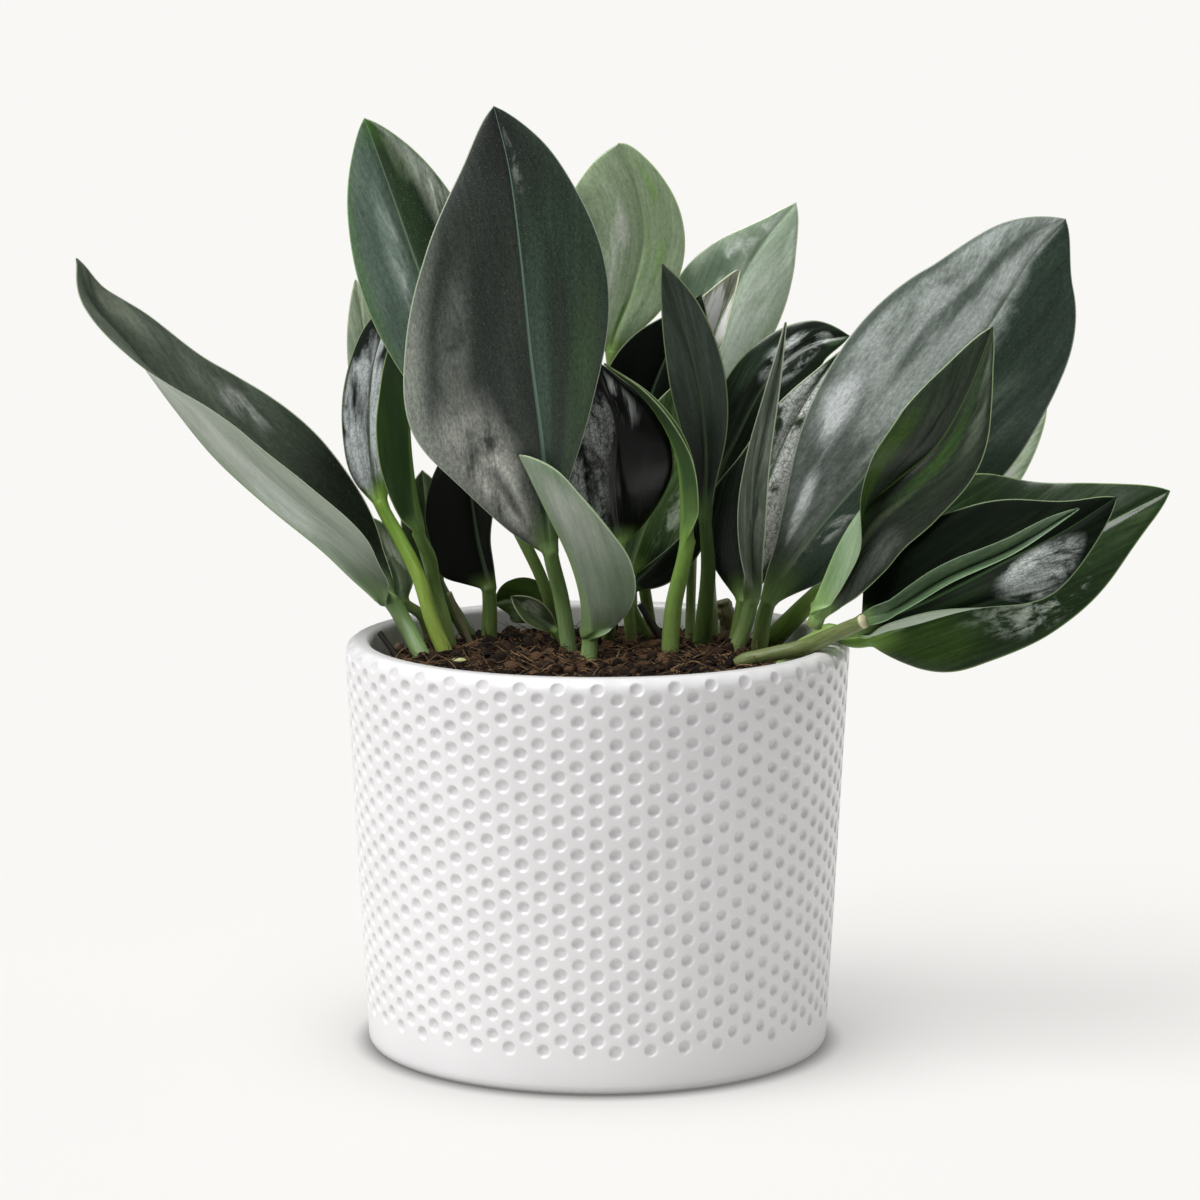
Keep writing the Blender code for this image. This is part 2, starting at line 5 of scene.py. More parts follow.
import bpy
import numpy as np
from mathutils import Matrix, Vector


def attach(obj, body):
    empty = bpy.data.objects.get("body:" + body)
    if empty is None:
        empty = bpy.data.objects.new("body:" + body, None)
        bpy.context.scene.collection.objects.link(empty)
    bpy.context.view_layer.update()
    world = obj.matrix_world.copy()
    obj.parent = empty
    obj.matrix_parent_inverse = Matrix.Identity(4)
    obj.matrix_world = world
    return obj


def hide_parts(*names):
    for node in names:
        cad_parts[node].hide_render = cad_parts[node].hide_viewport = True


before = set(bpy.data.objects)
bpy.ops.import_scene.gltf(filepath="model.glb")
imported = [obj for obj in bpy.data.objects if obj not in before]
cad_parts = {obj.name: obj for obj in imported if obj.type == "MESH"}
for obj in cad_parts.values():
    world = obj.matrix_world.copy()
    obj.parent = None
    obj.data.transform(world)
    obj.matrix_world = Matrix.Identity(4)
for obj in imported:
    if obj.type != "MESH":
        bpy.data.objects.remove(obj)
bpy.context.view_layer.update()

MM = 0.001


# ---------------------------------------------------------------- helpers
def lin(r, g, b):
    """sRGB 0-255 to scene linear"""
    out = []
    for c in (r, g, b):
        c = c / 255.0
        out.append(c / 12.92 if c <= 0.04045 else ((c + 0.055) / 1.055) ** 2.4)
    return tuple(out)


def unit(v):
    v = np.asarray(v, float)
    return v / max(float(np.linalg.norm(v)), 1e-9)


def hashed(ix, iy, iz, seed):
    m = np.uint64(0xFFFFFFFF)
    h = (ix.astype(np.int64).astype(np.uint64) * np.uint64(374761393)
         + iy.astype(np.int64).astype(np.uint64) * np.uint64(668265263)
         + iz.astype(np.int64).astype(np.uint64) * np.uint64(2246822519)
         + np.uint64(seed * 977 + 13)) & m
    h = ((h ^ (h >> np.uint64(13))) * np.uint64(1274126177)) & m
    h = ((h ^ (h >> np.uint64(16))) * np.uint64(2654435761)) & m
    return ((h ^ (h >> np.uint64(15))) & np.uint64(0xFFFFFF)).astype(float) / 0xFFFFFF


def noise(p, seed=0):
    """smooth value noise from -1 to 1 at points p (N, 3)"""
    p = np.asarray(p, float)
    i = np.floor(p)
    f = p - i
    f = f * f * f * (f * (f * 6 - 15) + 10)
    ix, iy, iz = i[:, 0], i[:, 1], i[:, 2]
    out = 0
    for a in (0, 1):
        for b in (0, 1):
            for c in (0, 1):
                w = ((f[:, 0] if a else 1 - f[:, 0]) * (f[:, 1] if b else 1 - f[:, 1])
                     * (f[:, 2] if c else 1 - f[:, 2]))
                out = out + w * hashed(ix + a, iy + b, iz + c, seed)
    return out * 2 - 1


def fbm(p, seed=0, octaves=4, gain=0.5):
    p = np.asarray(p, float)
    out, amp, tot = 0, 1.0, 0.0
    for k in range(octaves):
        out = out + amp * noise(p * 2.0**k + 17.3 * k, seed + k)
        tot += amp
        amp *= gain
    return out / tot


def smooth01(x, a, b):
    t = np.clip((np.asarray(x, float) - a) / (b - a), 0, 1)
    return t * t * (3 - 2 * t)


def make_mesh(name, verts_mm, faces, mat, uvs=None, node=None, smooth=True):
    """a visual piece from millimetre points; uvs holds per-vertex (N, 2) layers"""
    me = bpy.data.meshes.new(name)
    V = np.asarray(verts_mm, float) * MM
    faces = faces if isinstance(faces, list) else faces.tolist()
    tri = np.array([(f[0], f[k], f[k + 1]) for f in faces for k in range(1, len(f) - 1)])
    if np.einsum("ij,ij->i", V[tri[:, 0]], np.cross(V[tri[:, 1]], V[tri[:, 2]])).sum() < 0:
        faces = [f[::-1] for f in faces]
    me.from_pydata(V.tolist(), [], faces)
    if uvs:
        idx = np.zeros(len(me.loops), dtype=np.int32)
        me.loops.foreach_get("vertex_index", idx)
        for key, data in uvs.items():
            layer = me.uv_layers.new(name=key)
            layer.data.foreach_set("uv", np.asarray(data, float)[idx].astype(np.float32).ravel())
    if smooth:
        me.shade_smooth()
    me.materials.append(mat)
    me.update()
    ob = bpy.data.objects.new(name, me)
    bpy.context.scene.collection.objects.link(ob)
    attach(ob, "root")
    if node:
        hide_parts(*([node] if isinstance(node, str) else node))
    return ob


# ---------------------------------------------------------------- node graphs
class Graph:
    """a small writer of shader node trees"""

    def __init__(self, name):
        self.m = bpy.data.materials.new(name)
        self.m.use_nodes = True
        self.t = self.m.node_tree
        self.n = self.t.nodes
        self.bsdf = self.n["Principled BSDF"]
        self.out = self.n["Material Output"]

    def link(self, a, b):
        self.t.links.new(a, b)

    def put(self, sock, v):
        if isinstance(v, bpy.types.NodeSocket):
            self.link(v, sock)
        elif isinstance(v, (tuple, list)) and len(v) == 3 and sock.type == "RGBA":
            sock.default_value = (*v, 1.0)
        else:
            sock.default_value = v

    def math(self, op, a, b=None, c=None, clamp=False):
        n = self.n.new("ShaderNodeMath")
        n.operation = op
        n.use_clamp = clamp
        self.put(n.inputs[0], a)
        if b is not None:
            self.put(n.inputs[1], b)
        if c is not None:
            self.put(n.inputs[2], c)
        return n.outputs[0]

    def step(self, x, a, b):
        """smooth 0 to 1 as x goes from a to b (also falling when b < a)"""
        n = self.n.new("ShaderNodeMapRange")
        n.interpolation_type = "SMOOTHSTEP"
        self.put(n.inputs["Value"], x)
        if isinstance(a, (int, float)) and isinstance(b, (int, float)) and b < a:
            self.put(n.inputs["From Min"], b)
            self.put(n.inputs["From Max"], a)
            n.inputs["To Min"].default_value = 1.0
            n.inputs["To Max"].default_value = 0.0
        else:
            self.put(n.inputs["From Min"], a)
            self.put(n.inputs["From Max"], b)
        return n.outputs["Result"]

    def remap(self, x, a, b, c, d):
        n = self.n.new("ShaderNodeMapRange")
        for k, v in zip(("Value", "From Min", "From Max", "To Min", "To Max"), (x, a, b, c, d)):
            self.put(n.inputs[k], v)
        return n.outputs["Result"]

    def mix(self, f, a, b, mode="MIX"):
        n = self.n.new("ShaderNodeMix")
        n.data_type = "RGBA"
        n.blend_type = mode
        n.clamp_factor = True
        self.put(n.inputs[0], f)
        self.put(n.inputs[6], a)
        self.put(n.inputs[7], b)
        return n.outputs[2]

    def uv(self, name):
        n = self.n.new("ShaderNodeUVMap")
        n.uv_map = name
        s = self.n.new("ShaderNodeSeparateXYZ")
        self.link(n.outputs[0], s.inputs[0])
        return s.outputs[0], s.outputs[1]

    def xyz(self, x=0.0, y=0.0, z=0.0):
        n = self.n.new("ShaderNodeCombineXYZ")
        for s, v in zip(n.inputs, (x, y, z)):
            self.put(s, v)
        return n.outputs[0]

    def position(self, scale=1.0):
        n = self.n.new("ShaderNodeTexCoord")
        if scale == 1.0:
            return n.outputs["Object"]
        s = self.n.new("ShaderNodeVectorMath")
        s.operation = "SCALE"
        self.link(n.outputs["Object"], s.inputs[0])
        s.inputs["Scale"].default_value = scale
        return s.outputs[0]

    def noise(self, vec, scale=1.0, detail=3.0, rough=0.5, warp=0.0):
        n = self.n.new("ShaderNodeTexNoise")
        self.put(n.inputs["Vector"], vec)
        n.inputs["Scale"].default_value = scale
        n.inputs["Detail"].default_value = detail
        n.inputs["Roughness"].default_value = rough
        n.inputs["Distortion"].default_value = warp
        return n.outputs[0]

    def voronoi(self, vec, scale=1.0, feature="F1", out="Distance", randomness=1.0):
        n = self.n.new("ShaderNodeTexVoronoi")
        n.feature = feature
        self.put(n.inputs["Vector"], vec)
        n.inputs["Scale"].default_value = scale
        n.inputs["Randomness"].default_value = randomness
        return n.outputs[out]

    def bump(self, height, strength=0.3, distance=0.0001):
        n = self.n.new("ShaderNodeBump")
        n.inputs["Strength"].default_value = strength
        n.inputs["Distance"].default_value = distance
        self.put(n.inputs["Height"], height)
        self.link(n.outputs[0], self.bsdf.inputs["Normal"])

    def set(self, **kw):
        for k, v in kw.items():
            self.put(self.bsdf.inputs[k.replace("_", " ")], v)
        return self.m


# ---------------------------------------------------------------- curves
def smooth_path(points, per=24):
    """centripetal Catmull-Rom curve through the points, and each point's index"""
    p = np.array(points, float)
    p = np.vstack([2 * p[0] - p[1], p, 2 * p[-1] - p[-2]])
    out, marks = [], [0]
    for i in range(1, len(p) - 2):
        a, b, c, d = p[i - 1], p[i], p[i + 1], p[i + 2]
        ta = 0.0
        tb = ta + max(np.linalg.norm(b - a), 1e-6) ** 0.5
        tc = tb + max(np.linalg.norm(c - b), 1e-6) ** 0.5
        td = tc + max(np.linalg.norm(d - c), 1e-6) ** 0.5
        t = np.linspace(tb, tc, per, endpoint=False)[:, None]
        a1 = (tb - t) / (tb - ta) * a + (t - ta) / (tb - ta) * b
        a2 = (tc - t) / (tc - tb) * b + (t - tb) / (tc - tb) * c
        a3 = (td - t) / (td - tc) * c + (t - tc) / (td - tc) * d
        b1 = (tc - t) / (tc - ta) * a1 + (t - ta) / (tc - ta) * a2
        b2 = (td - t) / (td - tb) * a2 + (t - tb) / (td - tb) * a3
        out.extend((tc - t) / (tc - tb) * b1 + (t - tb) / (tc - tb) * b2)
        marks.append(len(out))
    out.append(p[-2])
    return np.array(out), marks


def hermite(keys, s):
    """smooth value at s (array) through five keys at 0.1, 0.3, 0.5, 0.7, 0.9"""
    keys = np.asarray(keys, float)
    t = np.clip((s - 0.1) / 0.2, 0.0, 4.0)
    i = np.minimum(t.astype(int), 3)
    t = t - i
    a, b, c, d = (keys[np.maximum(i - 1, 0)], keys[i], keys[i + 1], keys[np.minimum(i + 2, 4)])
    m0, m1 = (c - a) / 2, (d - b) / 2
    return (b * (2 * t**3 - 3 * t * t + 1) + m0 * (t**3 - 2 * t * t + t)
            + c * (3 * t * t - 2 * t**3) + m1 * (t**3 - t * t))


def blend(keys, s):
    keys = [float(k) for k in keys]
    if len(keys) == 5:
        return hermite(keys, s)
    s = np.clip(s, 0, 1)
    i = np.where(s < 0.5, 0, 1)
    t = (s - 0.5 * i) / 0.5
    k = np.asarray(keys)
    return k[i] + (k[i + 1] - k[i]) * (t * t * (3 - 2 * t))


def spread(value):
    if not isinstance(value, list):
        value = [value] * 3
    return [v if isinstance(v, tuple) else (v, v) for v in value]


EDGE = 0.4


def leaf(name, path, neck, left, right, face, mat, fold=10, curl=0, stalk=(2.0, 1.8),
         blunt=0.75, big=True, ripple=0.10, streak=5.0, seed=1, wave=0.0, waves=2.0, swell_by=2.2,
         slot="leaf_dark", groove=0.35, tipcut=0.0, flat=0.0):
    """A blade lofted along its midrib, upper and lower side, on a round stalk."""
    q = 20 if big else 13
    n_st, n_bl = (30, 96) if big else (20, 60)
    pts, marks = smooth_path(path)
    d = np.r_[0, np.cumsum(np.linalg.norm(np.diff(pts, axis=0), axis=1))]
    dn = d[marks[neck]]
    u = np.linspace(0, 1, n_bl + 1)
    u = 0.45 * u + 0.55 * (0.5 - 0.5 * np.cos(pi * u))
    at = np.r_[np.linspace(0, dn, n_st + 1)[:-1], dn + (d[-1] - dn) * u]

    def read(x):
        return np.stack([np.interp(x, d, pts[:, k]) for k in range(3)], -1)

    P = read(at)
    e = 0.01 * d[-1]
    T = read(np.minimum(at + e, d[-1])) - read(np.maximum(at - e, 0))
    T /= np.linalg.norm(T, axis=1)[:, None]
    S = np.where(at < dn, (at - dn) / dn, (at - dn) / (d[-1] - dn))
    S[n_st:] = u
    sb = np.clip(S, 0, 1)
    fk3 = np.array([unit(f) for f in (face if isinstance(face, list) else [face] * 3)])
    N = np.stack([blend(fk3[:, k], sb) for k in range(3)], -1)
    N -= T * np.sum(N * T, axis=1)[:, None]
    N /= np.linalg.norm(N, axis=1)[:, None]
    A = np.cross(T, N)
    # ring: top from the right margin over the midrib to the left one, then back below
    ch = 0.5 - 0.5 * np.cos(pi * np.linspace(0, 1, q + 1))
    c = np.r_[ch[::-1], ch[1:], ch[::-1][1:], ch[1:-1]]
    hand = np.r_[np.ones(q + 1), -np.ones(2 * q), np.ones(q - 1)]
    top = np.r_[np.ones(2 * q + 1), -np.ones(2 * q - 1)]
    h = top * np.sqrt(np.maximum(1 - c * c, 0))
    ring = 4 * q
    assert len(c) == ring and len(hand) == ring
    foot_r, neck_r = stalk
    fold, curl = spread(fold), spread(curl)
    outline = np.maximum(np.sin(pi * sb), 0) ** np.where(sb < 0.5, 0.75, blunt)
    gl, gr = outline * hermite(left, sb), outline * hermite(right, sb)
    ease = np.where(sb < 0.5, np.minimum(1, np.maximum(gl, gr) / (2.5 * neck_r)), 1.0)
    rm = neck_r * (1 - sb) ** 1.3 + 0.3
    rib = EDGE + (neck_r - EDGE) * np.exp(-sb / 0.16)
    below = 1 + 0.85 * ease
    stalk_r = neck_r + (foot_r - neck_r) * np.maximum(-S, 0)
    blade = S >= 0
    n = len(S)
    W, FO, CU = np.zeros((n, ring)), np.zeros((n, ring)), np.zeros((n, ring))
    for hsign, g, j in ((-1, gl, 0), (1, gr, 1)):
        w = np.sqrt(rm**2 + g**2)
        fo = blend([v[j] for v in fold], sb) * ease
        cu = blend([v[j] for v in curl], sb) * ease
        m = hand == hsign
        W[:, m], FO[:, m], CU[:, m] = w[:, None], fo[:, None], cu[:, None]
    D = c[None, :] * W
    a = np.radians(FO)
    k = np.radians(CU) / np.maximum(W, 1e-6)
    ks = np.where(np.abs(k) < 1e-6, 1e-6, k)
    X = np.where(np.abs(k) < 1e-6, D * np.cos(a), (np.sin(a) - np.sin(a - ks * D)) / ks)
    Z = np.where(np.abs(k) < 1e-6, D * np.sin(a), (np.cos(a - ks * D) - np.cos(a)) / ks)
    lean = np.where(c[None, :] > 0.05, a - np.radians(CU) * c[None, :], 0.0)
    swell = np.exp(-(D / (1.6 * rib[:, None])) ** 2)
    side = np.where(h[None, :] > 0, (2 - below)[:, None], below[:, None])
    off = h[None, :] * (EDGE + (rib[:, None] - EDGE) * swell * side)
    # the groove along the upper midrib
    off = off - np.where(h[None, :] > 0, groove * ease[:, None] * smooth01(sb, 0.0, 0.1)[:, None]
                         * np.exp(-(D / 0.9) ** 2), 0)
    real = np.where(blade, sb * (d[-1] - dn), S * dn)
    # the sheet's own relief: long ripples that follow the veins, and a wavy margin
    if ripple or wave:
        flow = D - 0.07 * real[:, None]
        q1 = np.stack([flow / streak, np.broadcast_to(real[:, None] / (streak * 5), D.shape),
                       np.where(hand > 0, 3.1, 8.7)[None, :] + 0 * D], -1).reshape(-1, 3)
        r1 = fbm(q1, seed, 3).reshape(D.shape)
        q2 = np.stack([flow / (streak * 3), np.broadcast_to(real[:, None] / (streak * 8), D.shape),
                       np.where(hand > 0, 5.1, 1.7)[None, :] + 0 * D], -1).reshape(-1, 3)
        r2 = noise(q2, seed + 9).reshape(D.shape)
        calm = smooth01(c, 0.02, 0.2)[None, :] * smooth01(sb, 0.02, 0.2)[:, None] * smooth01(sb, 1.0, 0.85)[:, None]
        bend = (ripple * r1 + swell_by * ripple * r2) * calm
        bend = bend + wave * (c[None, :] ** 2) * np.sin(2 * pi * waves * sb[:, None] + np.where(hand > 0, 0.4, 2.3)[None, :]) * smooth01(sb, 0.03, 0.25)[:, None] * smooth01(sb, 1.0, 0.8)[:, None]
        off = off + np.where(blade[:, None], bend, 0)
    x = np.where(blade[:, None], X - np.sin(lean) * off, stalk_r[:, None] * c[None, :])
    z = np.where(blade[:, None], Z + np.cos(lean) * off, stalk_r[:, None] * h[None, :])
    # a faint flattening along the top of the stalk
    z = np.where(blade[:, None], z, z - np.where(h[None, :] > 0, 0.18 * stalk_r[:, None] * np.exp(-(c[None, :] / 0.5) ** 2) * smooth01(S, -0.7, -0.05)[:, None], 0))
    V = P[:, None, :] + A[:, None, :] * (hand[None, :] * x)[:, :, None] + N[:, None, :] * z[:, :, None]
    V = V.reshape(-1, 3)
    i, j = np.meshgrid(np.arange(n - 1), np.arange(ring), indexing="ij")
    j2 = (j + 1) % ring
    F = np.stack([i * ring + j, i * ring + j2, (i + 1) * ring + j2, (i + 1) * ring + j], -1).reshape(-1, 4)
    F = F.tolist()
    c0 = len(V)
    V = np.vstack([V, P[0], V[-ring:].mean(0) + T[-1] * 0.3])
    last = (n - 1) * ring
    for jj in range(ring):
        F.append([c0, (jj + 1) % ring, jj])
        F.append([c0 + 1, last + jj, last + (jj + 1) % ring])
    sgn = (hand * c)[None, :] + 0 * D
    uv0 = np.stack([0.5 + 0.5 * sgn, S[:, None] + 0 * D], -1).reshape(-1, 2)
    flag = np.where(c > 0.999, 0.5, np.where(top > 0, 1.0, 0.0))[None, :] + 0 * D
    uv1 = np.stack([flag, real[:, None] / (d[-1] - dn) + 0 * D], -1).reshape(-1, 2)
    uv2 = np.stack([(hand[None, :] * D) / 100, real[:, None] / 100 + 0 * D], -1).reshape(-1, 2)
    ends = {"Leaf": ([0.5, S[0]], [0.5, 1.0]), "Side": ([1.0, 0], [0.5, 1.0]),
            "Real": ([0.0, real[0] / 100], [0.0, real[-1] / 100])}
    uvs = {}
    for key, arr in (("Leaf", uv0), ("Side", uv1), ("Real", uv2)):
        uvs[key] = np.vstack([arr, ends[key][0], ends[key][1]])
    return make_mesh(name + "_fine", V, F, mat, uvs, node=name)


def leaf_material(name, up=(40, 52, 44), up2=(58, 70, 62), under=(96, 108, 88), rib=(92, 110, 88),
                  edge=(150, 160, 130), stalk=(96, 122, 62), foot=(104, 120, 70), rough=0.32,
                  rough_under=0.45, coat=0.0, streaks=0.35, specks=0.12, rib_width=0.9,
                  marks_sheen_and_shade=(), under_marks_and_sheen=(), seed=0.0, edge_width=0.34, half_tone_and_shade=None, half_tone_and_shade_side=0.0, spec=0.4,
                  under2=None, rib_fade=0.75, crackle=(110.0, 55.0), wrinkle=0.0, gain=1.0, stalk_gain=1.6, skin=0.22):
    """leaf tissue: streaks along the veins, a pale midrib and margin, paler below, and patches of its own colour mixed
    with painted highlights, painted reflections and painted shade
    """
    g = Graph(name)
    ux, uy = g.uv("Leaf")
    flag, _ = g.uv("Side")
    rx, ry = g.uv("Real")
    u = g.math("MULTIPLY_ADD", ux, 2.0, -1.0)
    au = g.math("ABSOLUTE", u)
    arx = g.math("ABSOLUTE", rx)
    flow = g.math("MULTIPLY_ADD", ry, -0.09, arx)
    half = g.math("MULTIPLY", g.math("GREATER_THAN", u, 0.0), 3.7)
    fine = g.noise(g.xyz(g.math("MULTIPLY", flow, 90.0), g.math("MULTIPLY", ry, 5.0), g.math("ADD", half, seed)), 1.0, 4.0, 0.6)
    broad = g.noise(g.xyz(g.math("MULTIPLY", flow, 16.0), g.math("MULTIPLY", ry, 2.6), g.math("ADD", half, seed + 11.0)), 1.0, 3.0, 0.5)
    dust = g.noise(g.xyz(g.math("MULTIPLY", rx, 260.0), g.math("MULTIPLY", ry, 190.0), seed), 1.0, 2.0, 0.7)
    pores = g.noise(g.xyz(g.math("MULTIPLY", rx, 150.0), g.math("MULTIPLY", ry, 60.0), seed + 7.0), 1.0, 5.0, 0.75)
    warp = g.noise(g.xyz(g.math("MULTIPLY", rx, 70.0), g.math("MULTIPLY", ry, 40.0), seed + 2.0), 1.0, 2.0, 0.5)
    crack = g.voronoi(g.xyz(g.math("MULTIPLY_ADD", warp, 1.6, g.math("MULTIPLY", rx, crackle[0])),
                            g.math("MULTIPLY_ADD", warp, 1.1, g.math("MULTIPLY", ry, crackle[1])), seed), 1.0, "DISTANCE_TO_EDGE")

    def grain_by(col, amount_low, amount_high, source):
        k = g.remap(source, 0.3, 0.7, amount_low, amount_high)
        return g.mix(1.0, col, g.xyz(k, k, k), "MULTIPLY")

    # each patch is laid over the colour; some are the leaf's own marks and silver, others painted highlights, painted
    # reflections and painted shade
    def paint_marks_sheen_and_shade(col, entries):
        crazed = 0.0
        for pu, pv, ru, rv, pcol, amount, grain in entries:
            dx = g.math("DIVIDE", g.math("SUBTRACT", u, pu), ru)
            dy = g.math("DIVIDE", g.math("SUBTRACT", uy, pv), rv)
            dist = g.math("SQRT", g.math("ADD", g.math("MULTIPLY", dx, dx), g.math("MULTIPLY", dy, dy)))
            if grain:
                kx, ky, lo, hi = grain[:4]
                r = g.noise(g.xyz(g.math("MULTIPLY", flow, kx), g.math("MULTIPLY", ry, ky), g.math("ADD", half, seed + pu * 7 + pv * 13)), 1.0, 5.0, 0.62, 0.4)
                ragged = g.math("ADD", dist, g.math("MULTIPLY", g.math("SUBTRACT", r, 0.5), 0.9))
                m = g.math("MULTIPLY", g.step(ragged, 1.0, 0.70 if len(grain) > 4 else 0.35), g.step(r, lo, hi))
                if len(grain) > 4:
                    crazed = g.math("MAXIMUM", crazed, m)
                    m = g.math("MULTIPLY", m, g.remap(crack, 0.0, 0.10, 1.0 - grain[4], 1.0))
            else:
                m = g.step(dist, 1.0, 0.15)
            col = g.mix(g.math("MULTIPLY", m, amount), col, lin(*pcol))
        return col, crazed

    col = g.mix(g.remap(broad, 0.3, 0.7, 0.0, 1.0), lin(*up), lin(*up2))
    if half_tone_and_shade is not None:
        # one half of the blade in another tone: partly its own colour, partly painted shade on the half turned from the
        # light
        m = g.step(g.math("MULTIPLY", u, 1.0 if half_tone_and_shade_side >= 0 else -1.0), -0.06, 0.06)
        col = g.mix(m, col, g.mix(g.remap(broad, 0.3, 0.7, 0.0, 1.0), lin(*half_tone_and_shade[0]), lin(*half_tone_and_shade[1])))
    # upper side patches: own colour marks and silver, with painted highlights, painted lamp reflections and painted
    # shade along grooves and creases
    col, crazed = paint_marks_sheen_and_shade(col, marks_sheen_and_shade)
    if streaks:
        col = grain_by(col, 1.0 - streaks, 1.0 + streaks, fine)
    if skin:
        col = grain_by(col, 1.0 - skin, 1.0 + skin, pores)
    if specks:
        s = g.math("MULTIPLY", g.step(dust, 0.60, 0.72), specks)
        col = g.mix(s, col, lin(150, 160, 148))
    rough_s = g.remap(fine, 0.3, 0.7, rough - 0.05, rough + 0.07)
    # midrib
    w = g.math("MULTIPLY", g.math("SUBTRACT", 1.12, uy), rib_width / 100.0)
    m = g.math("MULTIPLY", g.step(g.math("DIVIDE", arx, w), 1.0, 0.45), rib_fade)
    col = g.mix(m, col, lin(*rib))
    # underside
    und = g.mix(g.remap(broad, 0.3, 0.7, 0.0, 1.0), lin(*under), lin(*(under2 or [min(255, v * 1.18) for v in under])))
    # underside patches: own colour marks, with painted sheen
    und, _ = paint_marks_sheen_and_shade(und, under_marks_and_sheen)
    und = grain_by(und, 0.86, 1.14, fine)
    und = grain_by(und, 0.88, 1.12, pores)
    und = g.mix(g.math("MULTIPLY", g.step(g.math("DIVIDE", arx, w), 1.6, 0.5), 0.55), und, lin(*[min(255, v * 1.2) for v in stalk]))
    low = g.step(flag, 0.52, 0.48)
    col = g.mix(low, col, und)
    # margin
    ew = edge_width
    inner = g.math("SUBTRACT", 1.0, g.math("DIVIDE", ew / 100.0, g.math("MAXIMUM", g.math("DIVIDE", arx, g.math("MAXIMUM", au, 0.05)), 0.01)))
    m = g.step(g.math("SUBTRACT", au, inner), -0.006, 0.006)
    m = g.math("MULTIPLY", m, g.step(uy, 0.0, 0.04))
    col = g.mix(g.math("MULTIPLY", m, 0.85), col, lin(*edge))
    # each blade's overall brightness, lifted or dimmed leaf by leaf so it shows the light it has: painted light on top
    # of its own tone
    strength = gain if isinstance(gain, tuple) else (gain, gain, gain)
    col = g.mix(1.0, col, g.xyz(*strength), "MULTIPLY")
    # stalk
    st = g.mix(g.step(uy, -0.9, -0.1), lin(*foot), lin(*stalk))
    st = grain_by(st, 0.78 * stalk_gain, 1.2 * stalk_gain, g.noise(g.xyz(g.math("MULTIPLY", rx, 220.0), g.math("MULTIPLY", ry, 12.0), seed), 1.0, 3.0, 0.6))
    nearmid = g.step(g.math("ABSOLUTE", rx), 0.07, 0.02)
    s_mask = g.math("MAXIMUM", g.step(uy, 0.02, -0.02), g.math("MULTIPLY", g.step(uy, 0.13, 0.0), nearmid))
    col = g.mix(s_mask, col, st)
    col = g.mix(1.0, col, (0.84, 0.84, 0.84), "DARKEN")
    rough_all = g.mix(g.math("MAXIMUM", low, s_mask), g.xyz(rough_s, rough_s, rough_s), (rough_under, rough_under, rough_under))
    sep = g.n.new("ShaderNodeSeparateColor")
    g.link(rough_all, sep.inputs[0])
    tiny = g.math("ADD", g.math("MULTIPLY", fine, 0.7), g.math("MULTIPLY", dust, 0.3))
    tiny = g.math("ADD", tiny, g.math("MULTIPLY", pores, 0.5))
    if wrinkle:
        tiny = g.math("ADD", tiny, g.math("MULTIPLY", g.math("MULTIPLY", g.step(crack, 0.0, 0.28), crazed), wrinkle))
    g.bump(tiny, 0.35, 0.00012)
    g.set(Base_Color=col, Roughness=sep.outputs[0], Coat_Weight=coat, Coat_Roughness=0.12, Specular_IOR_Level=spec)
    return g.m


def tube(name, path, radii, mat, node=None, sides=16, count=40, rough=0.0, seed=1,
         rings=0.0, cap=0.15):
    """a round stem along a path, its radius varying along it, with bumps and closed ends"""
    pts, _ = smooth_path(path)
    d = np.r_[0, np.cumsum(np.linalg.norm(np.diff(pts, axis=0), axis=1))]
    at = np.linspace(0, d[-1], count)
    P = np.stack([np.interp(at, d, pts[:, k]) for k in range(3)], -1)
    T = np.gradient(P, axis=0)
    T /= np.linalg.norm(T, axis=1)[:, None]
    R = np.interp(at / d[-1], np.linspace(0, 1, len(radii)), radii)
    R = np.convolve(np.r_[R[0], R[0], R, R[-1], R[-1]], np.ones(5) / 5, "valid")
    th = 2 * pi * np.arange(sides) / sides
    u = np.array((0.3, 1.0, 0.1))
    rows = []
    for i, (p, t, r) in enumerate(zip(P, T, R)):
        u = unit(u - t * (u @ t))
        v = np.cross(t, u)
        dirs = np.cos(th)[:, None] * u + np.sin(th)[:, None] * v
        rr = r * np.ones(sides)
        if rough:
            q = np.stack([np.cos(th) * 1.3, np.sin(th) * 1.3, np.full(sides, at[i] * 0.45)], -1)
            rr = rr * (1 + rough * fbm(q * 1.7, seed, 3))
        rows.append(p + dirs * rr[:, None])
    V = np.vstack(rows)
    i, j = np.meshgrid(np.arange(count - 1), np.arange(sides), indexing="ij")
    j2 = (j + 1) % sides
    F = np.stack([i * sides + j, i * sides + j2, (i + 1) * sides + j2, (i + 1) * sides + j], -1).reshape(-1, 4).tolist()
    c0 = len(V)
    V = np.vstack([V, P[0] - T[0] * cap, P[-1] + T[-1] * cap])
    last = (count - 1) * sides
    for jj in range(sides):
        F.append([c0, (jj + 1) % sides, jj])
        F.append([c0 + 1, last + jj, last + (jj + 1) % sides])
    uv = np.stack([np.tile(np.arange(sides) / sides, count), np.repeat(at / d[-1], sides)], -1)
    rl = np.stack([np.tile(np.arange(sides) / sides * 0.05, count), np.repeat(at / 100, sides)], -1)
    uvs = {"Leaf": np.vstack([uv, [0, 0], [0, 1]]), "Real": np.vstack([rl, [0, 0], [0, d[-1] / 100]])}
    return make_mesh(name, V, F, mat, uvs, node=node)


